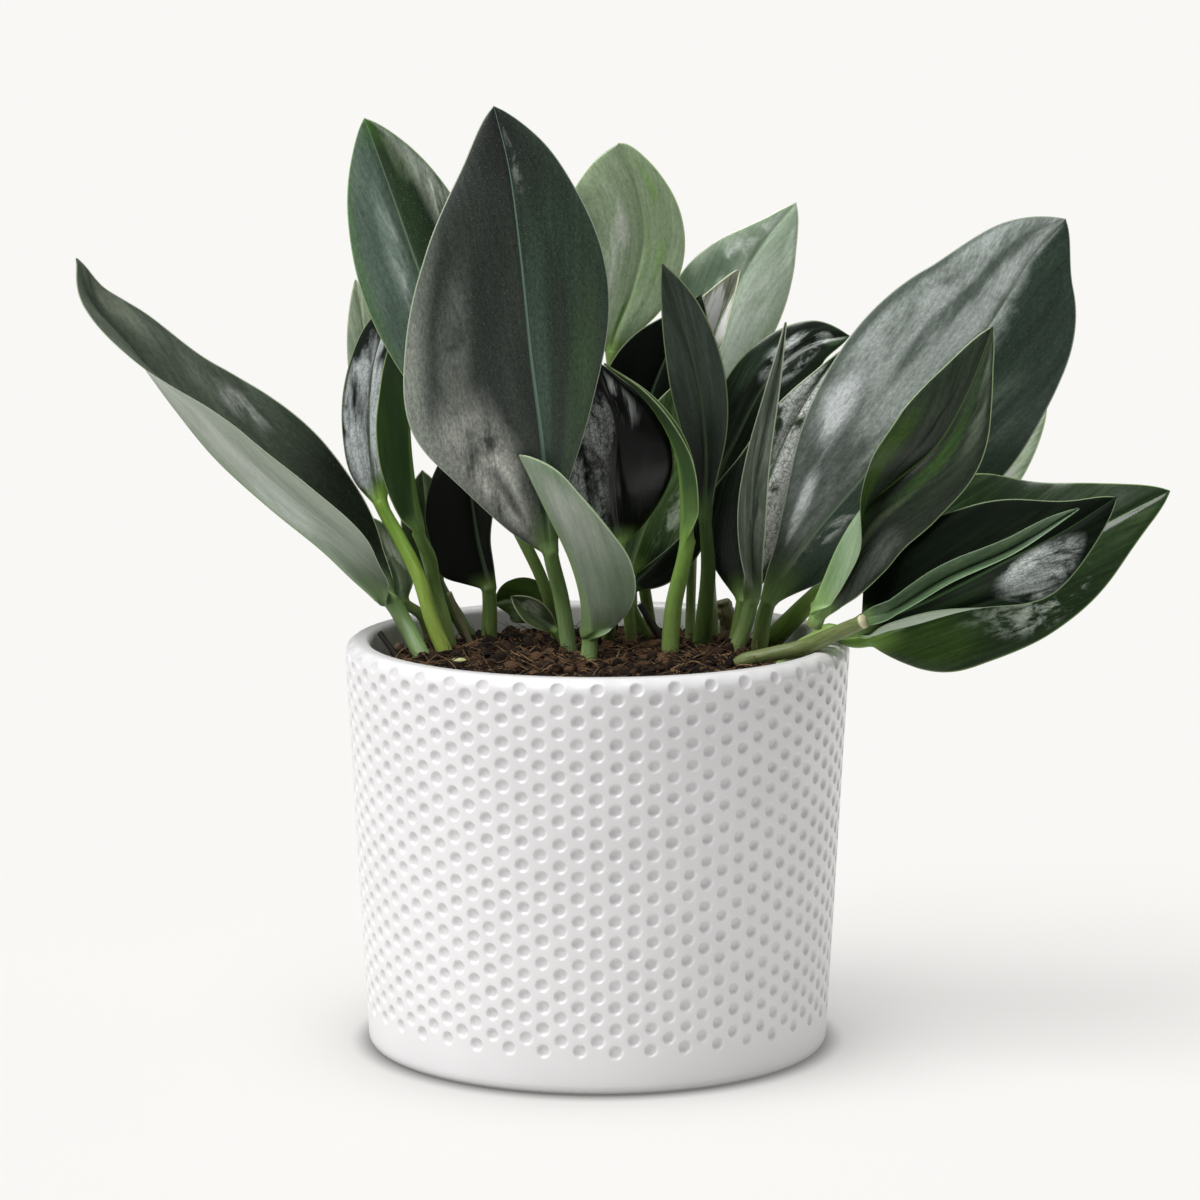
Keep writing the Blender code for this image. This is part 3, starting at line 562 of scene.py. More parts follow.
# ---------------------------------------------------------------- pot
POT_H, LIP, BASE_R, TAPER = 114.0, 3.5, 64.2, 5.8 / 110.5
COLS, ROWS, PITCH = 84, 17, 6.0
FIRST_T = 12.4            # lowest dimple of an even column
PIT_R, PIT_D = 1.94, 0.84


def wall(t, sink=0.0):
    """radius and height at length t up the wall, which rounds over at the lip"""
    q = max(t - (POT_H - LIP), 0.0) / LIP
    if q > 0:
        return 70.0 - LIP + (LIP - sink) * cos(q), POT_H - LIP + (LIP - sink) * sin(q)
    return BASE_R + TAPER * t - sink, t


def build_pot(mat):
    unit_a = 2 * pi / (COLS * 6)          # a sixth of the column spacing
    unit_t = PITCH / 4
    verts, flags, keys, faces = [], [], {}, []

    def put(angle, t, sink, flag):
        r, z = wall(t, sink)
        verts.append((angle, r, z))
        flags.append(flag)
        return len(verts) - 1

    def corner(kx, kz):
        kx %= COLS * 6
        if (kx, kz) not in keys:
            keys[(kx, kz)] = put(kx * unit_a, FIRST_T + kz * unit_t, 0.0, (0.0, 0.0))
        return keys[(kx, kz)]

    ring_off = [(4, 0), (3, 1), (2, 2), (0, 2), (-2, 2), (-3, 1), (-4, 0), (-3, -1), (-2, -2), (0, -2), (2, -2), (3, -1)]
    rings = [(0.60, 0.93), (0.90, 0.40), (1.02, 0.03), (1.14, 0.0)]
    spacing = 2 * pi * 67.3 / COLS
    n = 12
    for i in range(COLS):
        for j in range(ROWS):
            kx, kz = 6 * i, 4 * j + (2 if i % 2 else 0)
            rnd = [float(v[0]) for v in (hashed(np.array([i]), np.array([j]), np.array([k]), 5) for k in range(4))]
            tc = FIRST_T + kz * unit_t + 0.5 * (rnd[1] - 0.5)
            ac = (kx + 0.45 * (rnd[2] - 0.5)) * unit_a
            depth = PIT_D * (0.82 + 0.36 * rnd[0])
            size = PIT_R * (0.95 + 0.1 * rnd[3])
            outer = [corner(kx + dx, kz + dz) for dx, dz in ring_off]
            centre = put(ac, tc, depth, (1.0, rnd[0]))
            loops = []
            for r, dep in rings:
                loop = []
                for k in range(n):
                    q = 2 * pi * k / n
                    loop.append(put(ac + size * r * cos(q) / spacing * 6 * unit_a, tc + size * r * sin(q), depth * dep, (dep, rnd[0])))
                loops.append(loop)
            for k in range(n):
                faces.append([centre, loops[0][k], loops[0][(k + 1) % n]])
                for a, b in zip(loops, loops[1:] + [outer]):
                    faces.append([a[k], b[k], b[(k + 1) % n], a[(k + 1) % n]])
    # the borders, then plain rings over the lip and under the base
    top_units, low_units = [], []
    for i in range(0, COLS, 2):
        top_units += [(6 * i + dx, 4 * (ROWS - 1) + dz) for dx, dz in
                      ((-2, 2), (0, 2), (2, 2), (3, 3), (4, 4), (6, 4), (8, 4), (9, 3))]
        low_units += [(6 * i + dx, dz) for dx, dz in
                      ((-4, 0), (-3, -1), (-2, -2), (0, -2), (2, -2), (3, -1), (4, 0), (6, 0))]

    def run(units, profile, centre_z, flip):
        prev = [corner(kx, kz) for kx, kz in units]
        ang = [kx * unit_a for kx, _ in units]
        n = len(units)
        for r, z in profile:
            row = []
            for a in ang:
                row.append(len(verts))
                verts.append((a, r, z))
                flags.append((0.0, 0.0))
            for k in range(n):
                f = [prev[k], prev[(k + 1) % n], row[(k + 1) % n], row[k]]
                faces.append(f[::-1] if flip else f)
            prev = row
        c = len(verts)
        verts.append((0.0, 0.0, centre_z))
        flags.append((0.0, 0.0))
        for k in range(n):
            f = [prev[k], prev[(k + 1) % n], c]
            faces.append(f[::-1] if flip else f)

    up = [(70.0 - LIP + LIP * cos(radians(q)), POT_H - LIP + LIP * sin(radians(q))) for q in (68, 75, 82, 90)]
    up += [(65.0 + 2.0 * cos(radians(q)), POT_H - 2.0 + 2.0 * sin(radians(q))) for q in (105, 120, 135, 150, 165, 180)]
    up += [(62.7, 108.0), (62.4, 103.0), (60.0, 64.0), (57.0, 12.0), (55.5, 9.0), (53.0, 8.0)]
    run(top_units, up, 8.0, False)
    down = [wall(7.5), wall(4.5), wall(2.9)]
    for q in (20, 40, 60, 80):
        down.append((wall(2.4)[0] - 2.4 * (1 - cos(radians(q))), 2.4 - 2.3 * sin(radians(q))))
    down += [(61.4, 0.05), (60.8, 0.0), (58.5, 0.0), (58.0, 0.6), (50.0, 0.6)]
    run(low_units, down, 0.6, True)
    A = np.array(verts)
    xyz = np.stack([A[:, 1] * np.cos(A[:, 0]), A[:, 1] * np.sin(A[:, 0]), A[:, 2]], -1)
    # hand-finished glaze: the wall isn't perfectly true
    w = 0.10 * fbm(xyz * 0.035, 31, 2) * smooth01(A[:, 2], 2, 20) * smooth01(A[:, 2], 112, 100)
    xyz[:, :2] *= (1 + w / np.maximum(A[:, 1], 1.0))[:, None]
    return make_mesh("pot_glazed", xyz, faces, mat, {"Pit": np.array(flags)}, node="pot")


g = Graph("glazed_ceramic_fine")
pit, prnd = g.uv("Pit")
pos = g.position(1000.0)
cloud = g.noise(pos, 0.035, 3.0, 0.5)
fine = g.noise(pos, 1.7, 3.0, 0.55)
grit = g.noise(pos, 9.0, 2.0, 0.6)
sep = g.n.new("ShaderNodeSeparateXYZ")
g.link(pos, sep.inputs[0])
col = g.mix(g.remap(cloud, 0.35, 0.65, 0.0, 1.0), lin(232, 231, 232), lin(237, 236, 237))
# painted shade: the glaze is darkened down in the dimples
col = g.mix(g.math("MULTIPLY", g.step(pit, 0.1, 0.9), 0.3), col, lin(206, 204, 204))
col = g.mix(g.math("MULTIPLY", g.step(grit, 0.68, 0.76), 0.10), col, lin(196, 192, 186))
col = g.mix(g.math("MULTIPLY", g.step(sep.outputs[2], 1.4, 0.2), 0.6), col, lin(176, 168, 158))
g.bump(g.math("ADD", g.math("MULTIPLY", fine, 0.8), g.math("MULTIPLY", cloud, 3.0)), 0.25, 0.00006)
rough = g.remap(fine, 0.3, 0.7, 0.30, 0.40)
GLAZE = g.set(Base_Color=col, Roughness=rough, Specular_IOR_Level=0.5, Coat_Weight=0.25, Coat_Roughness=0.18)
build_pot(GLAZE)


# ---------------------------------------------------------------- soil
def soil_height(x, y):
    q = np.minimum(np.hypot(x, y) / 62.7, 1.0)
    return 109.4 - 4.4 * q**4


def soil_relief(x, y):
    p = np.stack([np.asarray(x, float), np.asarray(y, float), 0 * np.asarray(x, float)], -1).reshape(-1, 3)
    a = 0.9 * fbm(p * 0.11, 71, 3)
    b = 0.75 * (1 - np.abs(fbm(p * 0.38 + 5.0, 72, 3)) * 2.2)
    c = 0.55 * fbm(p * 1.3, 73, 3)
    out = (a + b * 0.6 + c).reshape(np.shape(x))
    return out - 0.25


def build_soil(mat):
    rings, sides = 110, 300
    rr = 62.25 * (np.arange(1, rings + 1) / rings) ** 0.92
    th = 2 * pi * np.arange(sides) / sides
    X = rr[:, None] * np.cos(th)
    Y = rr[:, None] * np.sin(th)
    Z = soil_height(X, Y) + soil_relief(X, Y) * smooth01(62.6 - rr, 0.0, 2.0)[:, None]
    V = [np.array([[0, 0, 109.4]])]
    V.append(np.stack([X, Y, Z], -1).reshape(-1, 3))
    for r, z in ((62.0, 102.0), (60.0, 70.0), (56.8, 13.0), (54.0, 8.6)):
        V.append(np.stack([r * np.cos(th), r * np.sin(th), np.full(sides, z)], -1))
    V.append(np.array([[0, 0, 8.4]]))
    n_rows = rings + 4
    F = [[0, 1 + j, 1 + (j + 1) % sides] for j in range(sides)]
    for i in range(n_rows - 1):
        a, b = 1 + i * sides, 1 + (i + 1) * sides
        F += [[a + j, b + j, b + (j + 1) % sides, a + (j + 1) % sides] for j in range(sides)]
    last = 1 + (n_rows - 1) * sides
    end = last + sides
    F += [[last + j, end, last + (j + 1) % sides] for j in range(sides)]
    return make_mesh("soil_surface", np.vstack(V), F, mat, node="soil")


def build_fibres(name, mat, count, seed, length, radius, lift, sides=3):
    """loose coir: thin curved threads lying on and poking out of the soil"""
    rng = np.random.default_rng(seed)
    V, F, U = [], [], []
    for k in range(count):
        r = 60.8 * sqrt(rng.random())
        a = rng.random() * 2 * pi
        x, y = r * cos(a), r * sin(a)
        L = length[0] + (length[1] - length[0]) * rng.random() ** 2
        head = rng.random() * 2 * pi
        pitch = (rng.random() - 0.35) * lift
        bendx, bendz = rng.normal(0, 0.9), rng.normal(0, 0.5)
        n = 6
        rad = (radius[0] + (radius[1] - radius[0]) * rng.random() ** 2)
        tone = rng.random()
        pts = []
        px, py = x, y
        pz = float(soil_height(x, y) + soil_relief(np.array([x]), np.array([y]))[0]) + 0.15 + 0.3 * rng.random()
        for i in range(n):
            t = i / (n - 1)
            h = head + bendx * t
            e = pitch + bendz * (t - 0.3)
            pts.append((px, py, pz))
            step = L / (n - 1)
            px += step * cos(h) * cos(e)
            py += step * sin(h) * cos(e)
            pz += step * sin(e)
        pts = np.array(pts)
        rad_lim = np.hypot(pts[:, 0], pts[:, 1])
        if rad_lim.max() > 61.5:
            continue
        T = np.gradient(pts, axis=0)
        T /= np.linalg.norm(T, axis=1)[:, None]
        base = len(V)
        side = np.cross(T, (0.1, 0.2, 1.0))
        side /= np.linalg.norm(side, axis=1)[:, None]
        upv = np.cross(side, T)
        for i in range(n):
            rr = rad * (1 - 0.75 * (i / (n - 1)) ** 2)
            for s in range(sides):
                q = 2 * pi * s / sides
                V.append(pts[i] + rr * (cos(q) * side[i] + sin(q) * upv[i]))
                U.append((tone, i / (n - 1)))
        for i in range(n - 1):
            for s in range(sides):
                s2 = (s + 1) % sides
                F.append([base + i * sides + s, base + i * sides + s2, base + (i + 1) * sides + s2, base + (i + 1) * sides + s])
        F.append([base + s for s in range(sides)][::-1])
        F.append([base + (n - 1) * sides + s for s in range(sides)])
    return make_mesh(name, np.array(V), F, mat, {"Tone": np.array(U)})


def build_crumbs(name, mat, count, seed, size):
    """small angular lumps of soil"""
    rng = np.random.default_rng(seed)
    t = (1 + sqrt(5)) / 2
    ico = np.array([(-1, t, 0), (1, t, 0), (-1, -t, 0), (1, -t, 0), (0, -1, t), (0, 1, t), (0, -1, -t), (0, 1, -t),
                    (t, 0, -1), (t, 0, 1), (-t, 0, -1), (-t, 0, 1)], float)
    ico /= np.linalg.norm(ico[0])
    tri = [(0, 11, 5), (0, 5, 1), (0, 1, 7), (0, 7, 10), (0, 10, 11), (1, 5, 9), (5, 11, 4), (11, 10, 2), (10, 7, 6),
           (7, 1, 8), (3, 9, 4), (3, 4, 2), (3, 2, 6), (3, 6, 8), (3, 8, 9), (4, 9, 5), (2, 4, 11), (6, 2, 10),
           (8, 6, 7), (9, 8, 1)]
    # one split: 42 points, 80 faces
    pts, faces, mid = [tuple(p) for p in ico], [], {}
    for a, b, c in tri:
        m = []
        for i, j in ((a, b), (b, c), (c, a)):
            key = (min(i, j), max(i, j))
            if key not in mid:
                p = np.array(pts[i]) + np.array(pts[j])
                mid[key] = len(pts)
                pts.append(tuple(p / np.linalg.norm(p)))
            m.append(mid[key])
        faces += [(a, m[0], m[2]), (b, m[1], m[0]), (c, m[2], m[1]), (m[0], m[1], m[2])]
    base = np.array(pts)
    V, F, U = [], [], []
    for k in range(count):
        r = 61.0 * sqrt(rng.random())
        a = rng.random() * 2 * pi
        x, y = r * cos(a), r * sin(a)
        s = size[0] + (size[1] - size[0]) * rng.random() ** 3
        if hypot(x, y) + s > 61.9:
            continue
        z = float(soil_height(x, y) + soil_relief(np.array([x]), np.array([y]))[0]) + s * 0.25
        sc = s * (0.6 + 0.8 * rng.random(3))
        sc[2] *= 0.75
        q = base * (1 + 0.35 * noise(base * 1.3 + k * 3.7, 91))[:, None] * sc
        h = rng.random() * 2 * pi
        q = np.stack([q[:, 0] * cos(h) - q[:, 1] * sin(h), q[:, 0] * sin(h) + q[:, 1] * cos(h), q[:, 2]], -1)
        V.append(q + (x, y, z))
        n0 = 42 * (len(V) - 1)
        tone = rng.random()
        U += [(tone, 0.0)] * 42
        F += [[n0 + i for i in f] for f in faces]
    return make_mesh(name, np.vstack(V), F, mat, {"Tone": np.array(U)}, smooth=False)


def soil_material(name, dark, mid, light, tone_amount=1.0, use_uv=True):
    g = Graph(name)
    pos = g.position(1000.0)
    n1 = g.noise(pos, 0.45, 5.0, 0.65)
    n2 = g.noise(pos, 3.2, 3.0, 0.6)
    col = g.mix(g.remap(n1, 0.32, 0.68, 0.0, 1.0), lin(*dark), lin(*mid))
    if use_uv:
        tone, along = g.uv("Tone")
        col = g.mix(g.math("MULTIPLY", g.step(tone, 0.35, 0.98), tone_amount), col, lin(*light))
        col = g.mix(g.math("MULTIPLY", g.step(tone, 0.25, 0.0), 0.75), col, lin(16, 10, 7))
    else:
        col = g.mix(g.math("MULTIPLY", g.step(n2, 0.58, 0.75), tone_amount), col, lin(*light))
    k = g.remap(n2, 0.3, 0.7, 0.65, 1.3)
    col = g.mix(1.0, col, g.xyz(k, k, k), "MULTIPLY")
    g.bump(g.math("ADD", g.math("MULTIPLY", n1, 2.0), n2), 0.8, 0.0004)
    return g.set(Base_Color=col, Roughness=g.remap(n2, 0.3, 0.7, 0.82, 0.98), Specular_IOR_Level=0.25)


SOIL = soil_material("coir_soil_fine", (9, 5, 3), (29, 19, 12), (66, 48, 32), 0.5, use_uv=False)
FIBRE = soil_material("coir_fibre", (34, 21, 13), (74, 50, 32), (168, 136, 100), 0.9)
CRUMB = soil_material("coir_crumb", (12, 7, 4), (37, 25, 16), (100, 74, 52), 0.8)
build_soil(SOIL)
build_fibres("soil_fibres", FIBRE, 3600, 11, (2.0, 9.0), (0.09, 0.26), 0.9)
build_crumbs("soil_crumbs", CRUMB, 2200, 12, (0.35, 2.0))


# ---------------------------------------------------------------- leaves
F = 104.0
# grains for the patches: soft long streaks, fuller streaks, blotches and crackled silver; the pale patches drawn with
# them are mostly painted highlights and painted reflections of the lamps, and the crackled silver is partly the leaf's
# own silver, partly painted reflection
SILK = (24.0, 2.5, 0.34, 0.66)
FULL = (18.0, 2.5, 0.18, 0.52)
BLOTCH = (17.0, 9.0, 0.46, 0.57)
SILVER = (18.0, 9.0, 0.38, 0.52, 0.72)
FROST = (20.0, 10.0, 0.46, 0.58, 0.80)
GLINT = (36.0, 4.0, 0.44, 0.66)
CLOUD = (8.0, 6.0, 0.38, 0.62)
# per-leaf looks: the patch lists mix each leaf's own colour and silver with painted highlights, painted reflections of
# the lamps and painted shade along grooves and creases, and gain lifts or dims each blade as painted light
LOOK = {
    "leaf_tall_front": dict(
        up=(39, 46, 40), up2=(54, 61, 54), half_tone_and_shade=((40, 55, 42), (52, 70, 53)), half_tone_and_shade_side=1, rib=(108, 136, 120), rib_width=0.8, streaks=0.15,
        under=(96, 108, 92), edge=(170, 182, 158), rough=0.40, specks=0.34, stalk=(92, 116, 66), foot=(106, 126, 82), gain=1.2, skin=0.55,
        marks_sheen_and_shade=[(0.0, 1.02, 1.7, 0.42, (24, 28, 26), 0.9, None), (-0.36, 0.52, 0.2, 0.5, (38, 44, 41), 0.75, FULL),
                 (-0.58, 0.19, 0.46, 0.24, (206, 208, 198), 0.94, (12, 5, 0.26, 0.62)), (-0.62, 0.46, 0.20, 0.28, (116, 121, 113), 0.65, (13, 5, .32, .66)),
                 (-0.97, 0.36, 0.22, 0.46, (146, 152, 142), 0.8, None), (-0.50, 0.13, 0.13, 0.10, (44, 50, 44), 0.8, None),
                 (-0.22, 0.10, 0.2, 0.12, (96, 104, 94), 0.6, None),
                 (0.13, 0.42, 0.14, 0.42, (66, 86, 76), 0.55, None), (0.36, 0.42, 0.16, 0.5, (40, 50, 41), 0.7, FULL),
                 (0.74, 0.28, 0.34, 0.42, (62, 86, 54), 0.75, FULL), (0.12, 0.88, 0.12, 0.10, (130, 138, 132), 0.6, (30, 14, 0.44, 0.62)),
                 (0.92, 0.16, 0.2, 0.14, (92, 100, 88), 0.6, None)]),
    "leaf_tall_left": dict(
        up=(68, 85, 74), up2=(84, 101, 88), half_tone_and_shade=((22, 38, 20), (36, 56, 30)), half_tone_and_shade_side=1, rib=(104, 126, 98), under=(86, 104, 86),
        edge=(136, 164, 112), rough=0.34, gain=1.32, specks=0.22, streaks=0.18, skin=0.36,
        marks_sheen_and_shade=[(-0.24, 0.60, 0.17, 0.24, (196, 202, 197), 0.92, (24, 7, 0.40, 0.68)), (-0.30, 0.68, 0.22, 0.26, (130, 146, 136), 0.6, SILK), (-0.92, 0.62, 0.18, 0.5, (74, 104, 64), 0.6, None),
                 (-0.55, 0.45, 0.4, 0.22, (56, 74, 62), 0.6, SILK), (0.0, 1.02, 1.1, 0.13, (62, 98, 36), 0.75, None),
                 (0.78, 0.74, 0.34, 0.36, (160, 168, 154), 0.9, (20, 2.5, 0.30, 0.60)), (0.72, 0.76, 0.16, 0.18, (196, 202, 190), 0.7, GLINT), (0.5, 0.88, 0.3, 0.1, (120, 134, 108), 0.6, SILK)]),
    "leaf_back_left_narrow": dict(up=(124, 138, 114), up2=(150, 162, 138), edge=(176, 186, 156), rough=0.4, gain=1.3),
    "leaf_left_upright": dict(
        wrinkle=0.8, up=(14, 20, 16), up2=(26, 34, 28), rib=(60, 76, 50), rough=0.24, stalk=(112, 146, 56), foot=(150, 172, 80), edge=(130, 144, 112),
        stalk_gain=1.1, gain=1.12, specks=0.0, spec=0.3,
        marks_sheen_and_shade=[(-0.15, 0.38, 0.95, 0.50, (188, 195, 194), 0.97, (15, 6, 0.30, 0.50, 0.42)), (0.05, 0.84, 0.42, 0.18, (206, 212, 212), 0.95, (18, 3, 0.38, 0.54)),
                 (-0.05, 0.58, 0.16, 0.12, (20, 26, 22), 0.8, SILK), (-0.98, 0.55, 0.14, 0.5, (16, 24, 16), 0.8, None), (0.3, 0.06, 0.8, 0.12, (98, 130, 60), 0.85, None)]),
    "leaf_left_folded": dict(
        up=(38, 62, 22), up2=(50, 78, 32), under=(34, 60, 18), under2=(50, 82, 30), edge=(150, 170, 110), stalk=(92, 120, 60), foot=(116, 136, 80), rough_under=0.5, gain=1.1, skin=0.12,
        under_marks_and_sheen=[(0.9, 0.3, 0.3, 0.5, (66, 92, 52), 0.6, SILK), (0.5, 0.9, 0.6, 0.2, (24, 52, 12), 0.6, None)]),
    "leaf_left_spreading": dict(
        up=(62, 72, 60), up2=(88, 98, 84), under=(112, 126, 108), under2=(138, 150, 132), edge=(186, 196, 168), rib=(92, 112, 84), stalk=(92, 116, 72), foot=(108, 130, 84), rough=0.32, rough_under=0.42, gain=1.24, specks=0.12, streaks=0.2, skin=0.34,
        marks_sheen_and_shade=[(0.85, 0.18, 1.0, 0.36, (14, 22, 11), 0.97, None), (0.68, 0.53, 0.22, 0.13, (166, 172, 165), 0.92, (30, 5, 0.40, 0.68)), (0.60, 0.72, 0.3, 0.2, (108, 116, 104), 0.6, SILK), (0.55, 0.9, 0.5, 0.2, (128, 136, 118), 0.6, SILK)],
        under_marks_and_sheen=[(-0.40, 0.55, 0.45, 0.36, (166, 172, 162), 0.85, (12, 4, 0.2, 0.6)), (-0.20, 0.30, 0.34, 0.14, (170, 180, 170), 0.8, (12, 5, 0.25, 0.6)), (-0.5, 0.02, 1.6, 0.16, (58, 78, 48), 0.92, None), (-0.62, 0.36, 0.16, 0.4, (108, 122, 104), 0.6, FULL)]),
    "leaf_back_low": dict(
        up=(14, 17, 13), up2=(22, 26, 19), edge=(116, 128, 88), stalk=(78, 96, 48), foot=(84, 100, 54), rough=0.34, spec=0.22, specks=0.02, gain=1.0,
        marks_sheen_and_shade=[(-0.95, 0.80, 0.3, 0.14, (88, 96, 88), 0.6, SILK), (0.5, 0.5, 0.4, 0.4, (34, 44, 26), 0.5, SILK)]),
    "leaf_back_low_dark": dict(up=(30, 38, 24), up2=(46, 56, 36), stalk=(72, 90, 46), foot=(78, 94, 50), rough=0.3, gain=3.2, specks=0.03,
        marks_sheen_and_shade=[(-0.3, 0.3, 0.5, 0.4, (20, 24, 16), 0.7, BLOTCH)]),
    "leaf_left_small": dict(up=(52, 62, 44), up2=(76, 86, 64), rough=0.22, stalk=(86, 102, 54), gain=2.2, specks=0.0,
        marks_sheen_and_shade=[(0.2, 0.5, 0.7, 0.5, (134, 140, 128), 0.8, BLOTCH)]),
    "leaf_top_centre": dict(
        up=(112, 130, 100), up2=(130, 145, 119), rib=(126, 148, 104), edge=(160, 180, 130), rough=0.30, under=(110, 130, 90), gain=(1.64, 1.66, 1.60), specks=0.03, coat=0.2, streaks=0.12, skin=0.26, rib_fade=0.4,
        marks_sheen_and_shade=[(-0.62, 0.80, 0.34, 0.24, (128, 146, 114), 0.7, SILK), (-0.34, 0.46, 0.18, 0.36, (170, 178, 164), 0.75, SILK), (-0.34, 0.50, 0.22, 0.42, (186, 191, 182), 0.95, (22, 5, 0.40, 0.62)),
                 (-0.32, 0.87, 0.3, 0.12, (164, 174, 154), 0.75, SILK), (-0.78, 0.4, 0.2, 0.3, (96, 116, 76), 0.6, SILK),
                 (-0.03, 0.15, 0.11, 0.17, (58, 96, 26), 0.9, None), (0.14, 0.42, 0.1, 0.36, (98, 122, 80), 0.5, FULL),
                 (0.45, 0.66, 0.22, 0.42, (106, 138, 72), 0.8, CLOUD), (0.42, 0.28, 0.10, 0.22, (66, 98, 44), 0.7, CLOUD), (-0.60, 0.62, 0.4, 0.4, (150, 168, 138), 0.6, CLOUD), (0.82, 0.5, 0.2, 0.5, (134, 150, 122), 0.7, SILK), (0.5, 0.12, 0.4, 0.16, (96, 116, 92), 0.8, None)]),
    "leaf_top_right": dict(
        up=(108, 124, 104), up2=(138, 152, 134), rib=(130, 148, 120), edge=(176, 188, 156), rough=0.28, gain=1.95, specks=0.0, coat=0.2, streaks=0.14, skin=0.2, rib_fade=0.5,
        marks_sheen_and_shade=[(-0.55, 0.50, 0.6, 0.5, (80, 98, 80), 0.85, (9, 8, 0.36, 0.58)), (-0.35, 0.70, 0.6, 0.34, (172, 180, 173), 0.92, (12, 9, 0.42, 0.62)), (-0.05, 0.78, 0.2, 0.12, (86, 106, 84), 0.6, SILK),
                 (0.45, 0.46, 0.45, 0.42, (164, 171, 162), 0.9, (9, 5, 0.30, 0.60)), (0.30, 0.55, 0.3, 0.36, (162, 168, 161), 0.9, (26, 4, 0.40, 0.70)), (0.75, 0.8, 0.25, 0.2, (176, 186, 172), 0.7, SILK), (0.2, 0.2, 0.2, 0.2, (120, 142, 110), 0.7, None)]),
    "leaf_small_folded": dict(
        wrinkle=0.4, up=(60, 62, 48), up2=(100, 104, 90), edge=(170, 180, 150), rough=0.24, gain=2.2, specks=0.0,
        marks_sheen_and_shade=[(-0.35, 0.55, 0.8, 0.55, (222, 226, 218), 0.95, (34, 3, 0.40, 0.58)), (0.6, 0.5, 0.5, 0.5, (196, 202, 192), 0.8, (30, 3, 0.42, 0.56))]),
    "leaf_centre_narrow": dict(
        up=(40, 50, 42), up2=(54, 64, 54), rib=(62, 78, 56), edge=(112, 128, 92), rough=0.42, stalk=(56, 76, 36), foot=(74, 92, 46), under=(44, 56, 40), gain=1.0, specks=0.05, spec=0.3,
        marks_sheen_and_shade=[(0.0, 0.12, 1.6, 0.40, (12, 20, 12), 0.95, None), (-0.75, 0.75, 0.3, 0.3, (70, 78, 70), 0.6, SILK), (0.6, 0.72, 0.3, 0.2, (72, 80, 72), 0.5, SILK)]),
    "leaf_back_centre": dict(up=(9, 16, 8), up2=(14, 24, 12), rough=0.45, spec=0.15, specks=0.0, gain=0.8),
    "leaf_centre_broad": dict(
        wrinkle=1.0, up=(9, 12, 9), up2=(15, 19, 15), rib=(30, 36, 30), edge=(112, 132, 90), rough=0.20, coat=0.15, gain=1.02, spec=0.3, specks=0.0, crackle=(95.0, 60.0), skin=0.1,
        marks_sheen_and_shade=[(-0.60, 0.46, 0.56, 0.46, (176, 180, 178), 0.97, (22, 10, 0.37, 0.60, 0.85)), (-0.25, 0.66, 0.28, 0.22, (150, 154, 152), 0.85, FROST),
                 (0.26, 0.80, 0.5, 0.20, (190, 194, 192), 0.95, (34, 5, 0.46, 0.60)), (0.55, 0.30, 0.3, 0.3, (38, 44, 38), 0.6, SILK)]),
    "leaf_centre_folded": dict(
        up=(46, 66, 34), up2=(60, 84, 44), under=(44, 68, 34), under2=(66, 92, 50), edge=(146, 166, 116), stalk=(98, 128, 56), foot=(112, 134, 70), rough_under=0.5, gain=1.15, skin=0.12,
        under_marks_and_sheen=[(-0.5, 0.75, 1.0, 0.34, (34, 46, 28), 0.7, FULL), (-0.5, 0.12, 1.0, 0.2, (92, 120, 60), 0.7, None)]),
    "leaf_inner_pale": dict(up=(54, 76, 40), up2=(84, 108, 66), rib=(110, 134, 84), rough=0.26, gain=1.5, specks=0.0, coat=0.2,
        marks_sheen_and_shade=[(0.55, 0.35, 0.35, 0.22, (176, 190, 168), 0.85, BLOTCH), (0.2, 0.1, 0.6, 0.14, (44, 66, 24), 0.8, None), (0.9, 0.1, 0.4, 0.16, (16, 24, 12), 0.9, None)]),
    "leaf_inner_dark": dict(up=(14, 20, 11), up2=(24, 32, 18), rough=0.4, spec=0.2, specks=0.0, gain=1.0),
    "leaf_front_small": dict(
        up=(90, 106, 82), up2=(106, 122, 98), under=(104, 116, 98), under2=(124, 136, 118), edge=(160, 174, 142), stalk=(92, 114, 66), foot=(112, 132, 82), rough_under=0.5, rough=0.45, gain=1.7, skin=0.2,
        under_marks_and_sheen=[(-0.45, 0.62, 0.5, 0.3, (146, 152, 142), 0.8, (12, 2.5, 0.2, 0.6)), (-0.75, 0.22, 0.5, 0.2, (84, 100, 76), 0.7, None), (-0.4, 0.03, 0.7, 0.1, (70, 92, 52), 0.7, None), (-0.9, 0.9, 0.4, 0.16, (100, 124, 92), 0.6, None)]),
    "leaf_young_back": dict(up=(52, 76, 16), up2=(66, 92, 24), under=(56, 80, 8), under2=(72, 98, 14), rib=(84, 110, 14), rough=0.45, spec=0.15, edge=(64, 88, 16), gain=0.5, specks=0.0, skin=0.1, edge_width=0.2),
    "leaf_torn_scrap": dict(up=(52, 66, 34), up2=(80, 94, 56), under=(70, 84, 48), edge=(170, 180, 140), rough=0.5, gain=0.7, specks=0.0,
        marks_sheen_and_shade=[(0.3, 0.6, 0.7, 0.4, (176, 184, 160), 0.7, BLOTCH)]),
    "leaf_back_right": dict(
        wrinkle=0.5, up=(16, 24, 16), up2=(30, 40, 28), rib=(70, 84, 62), edge=(104, 120, 88), rough=0.22, coat=0.15, gain=1.5, spec=0.3, specks=0.0,
        marks_sheen_and_shade=[(-0.05, 0.76, 0.66, 0.22, (196, 202, 200), 0.95, (22, 7, 0.42, 0.60, 0.4)), (-0.6, 0.6, 0.4, 0.2, (54, 68, 54), 0.7, SILK), (0.3, 0.95, 0.6, 0.08, (60, 80, 52), 0.7, SILK)]),
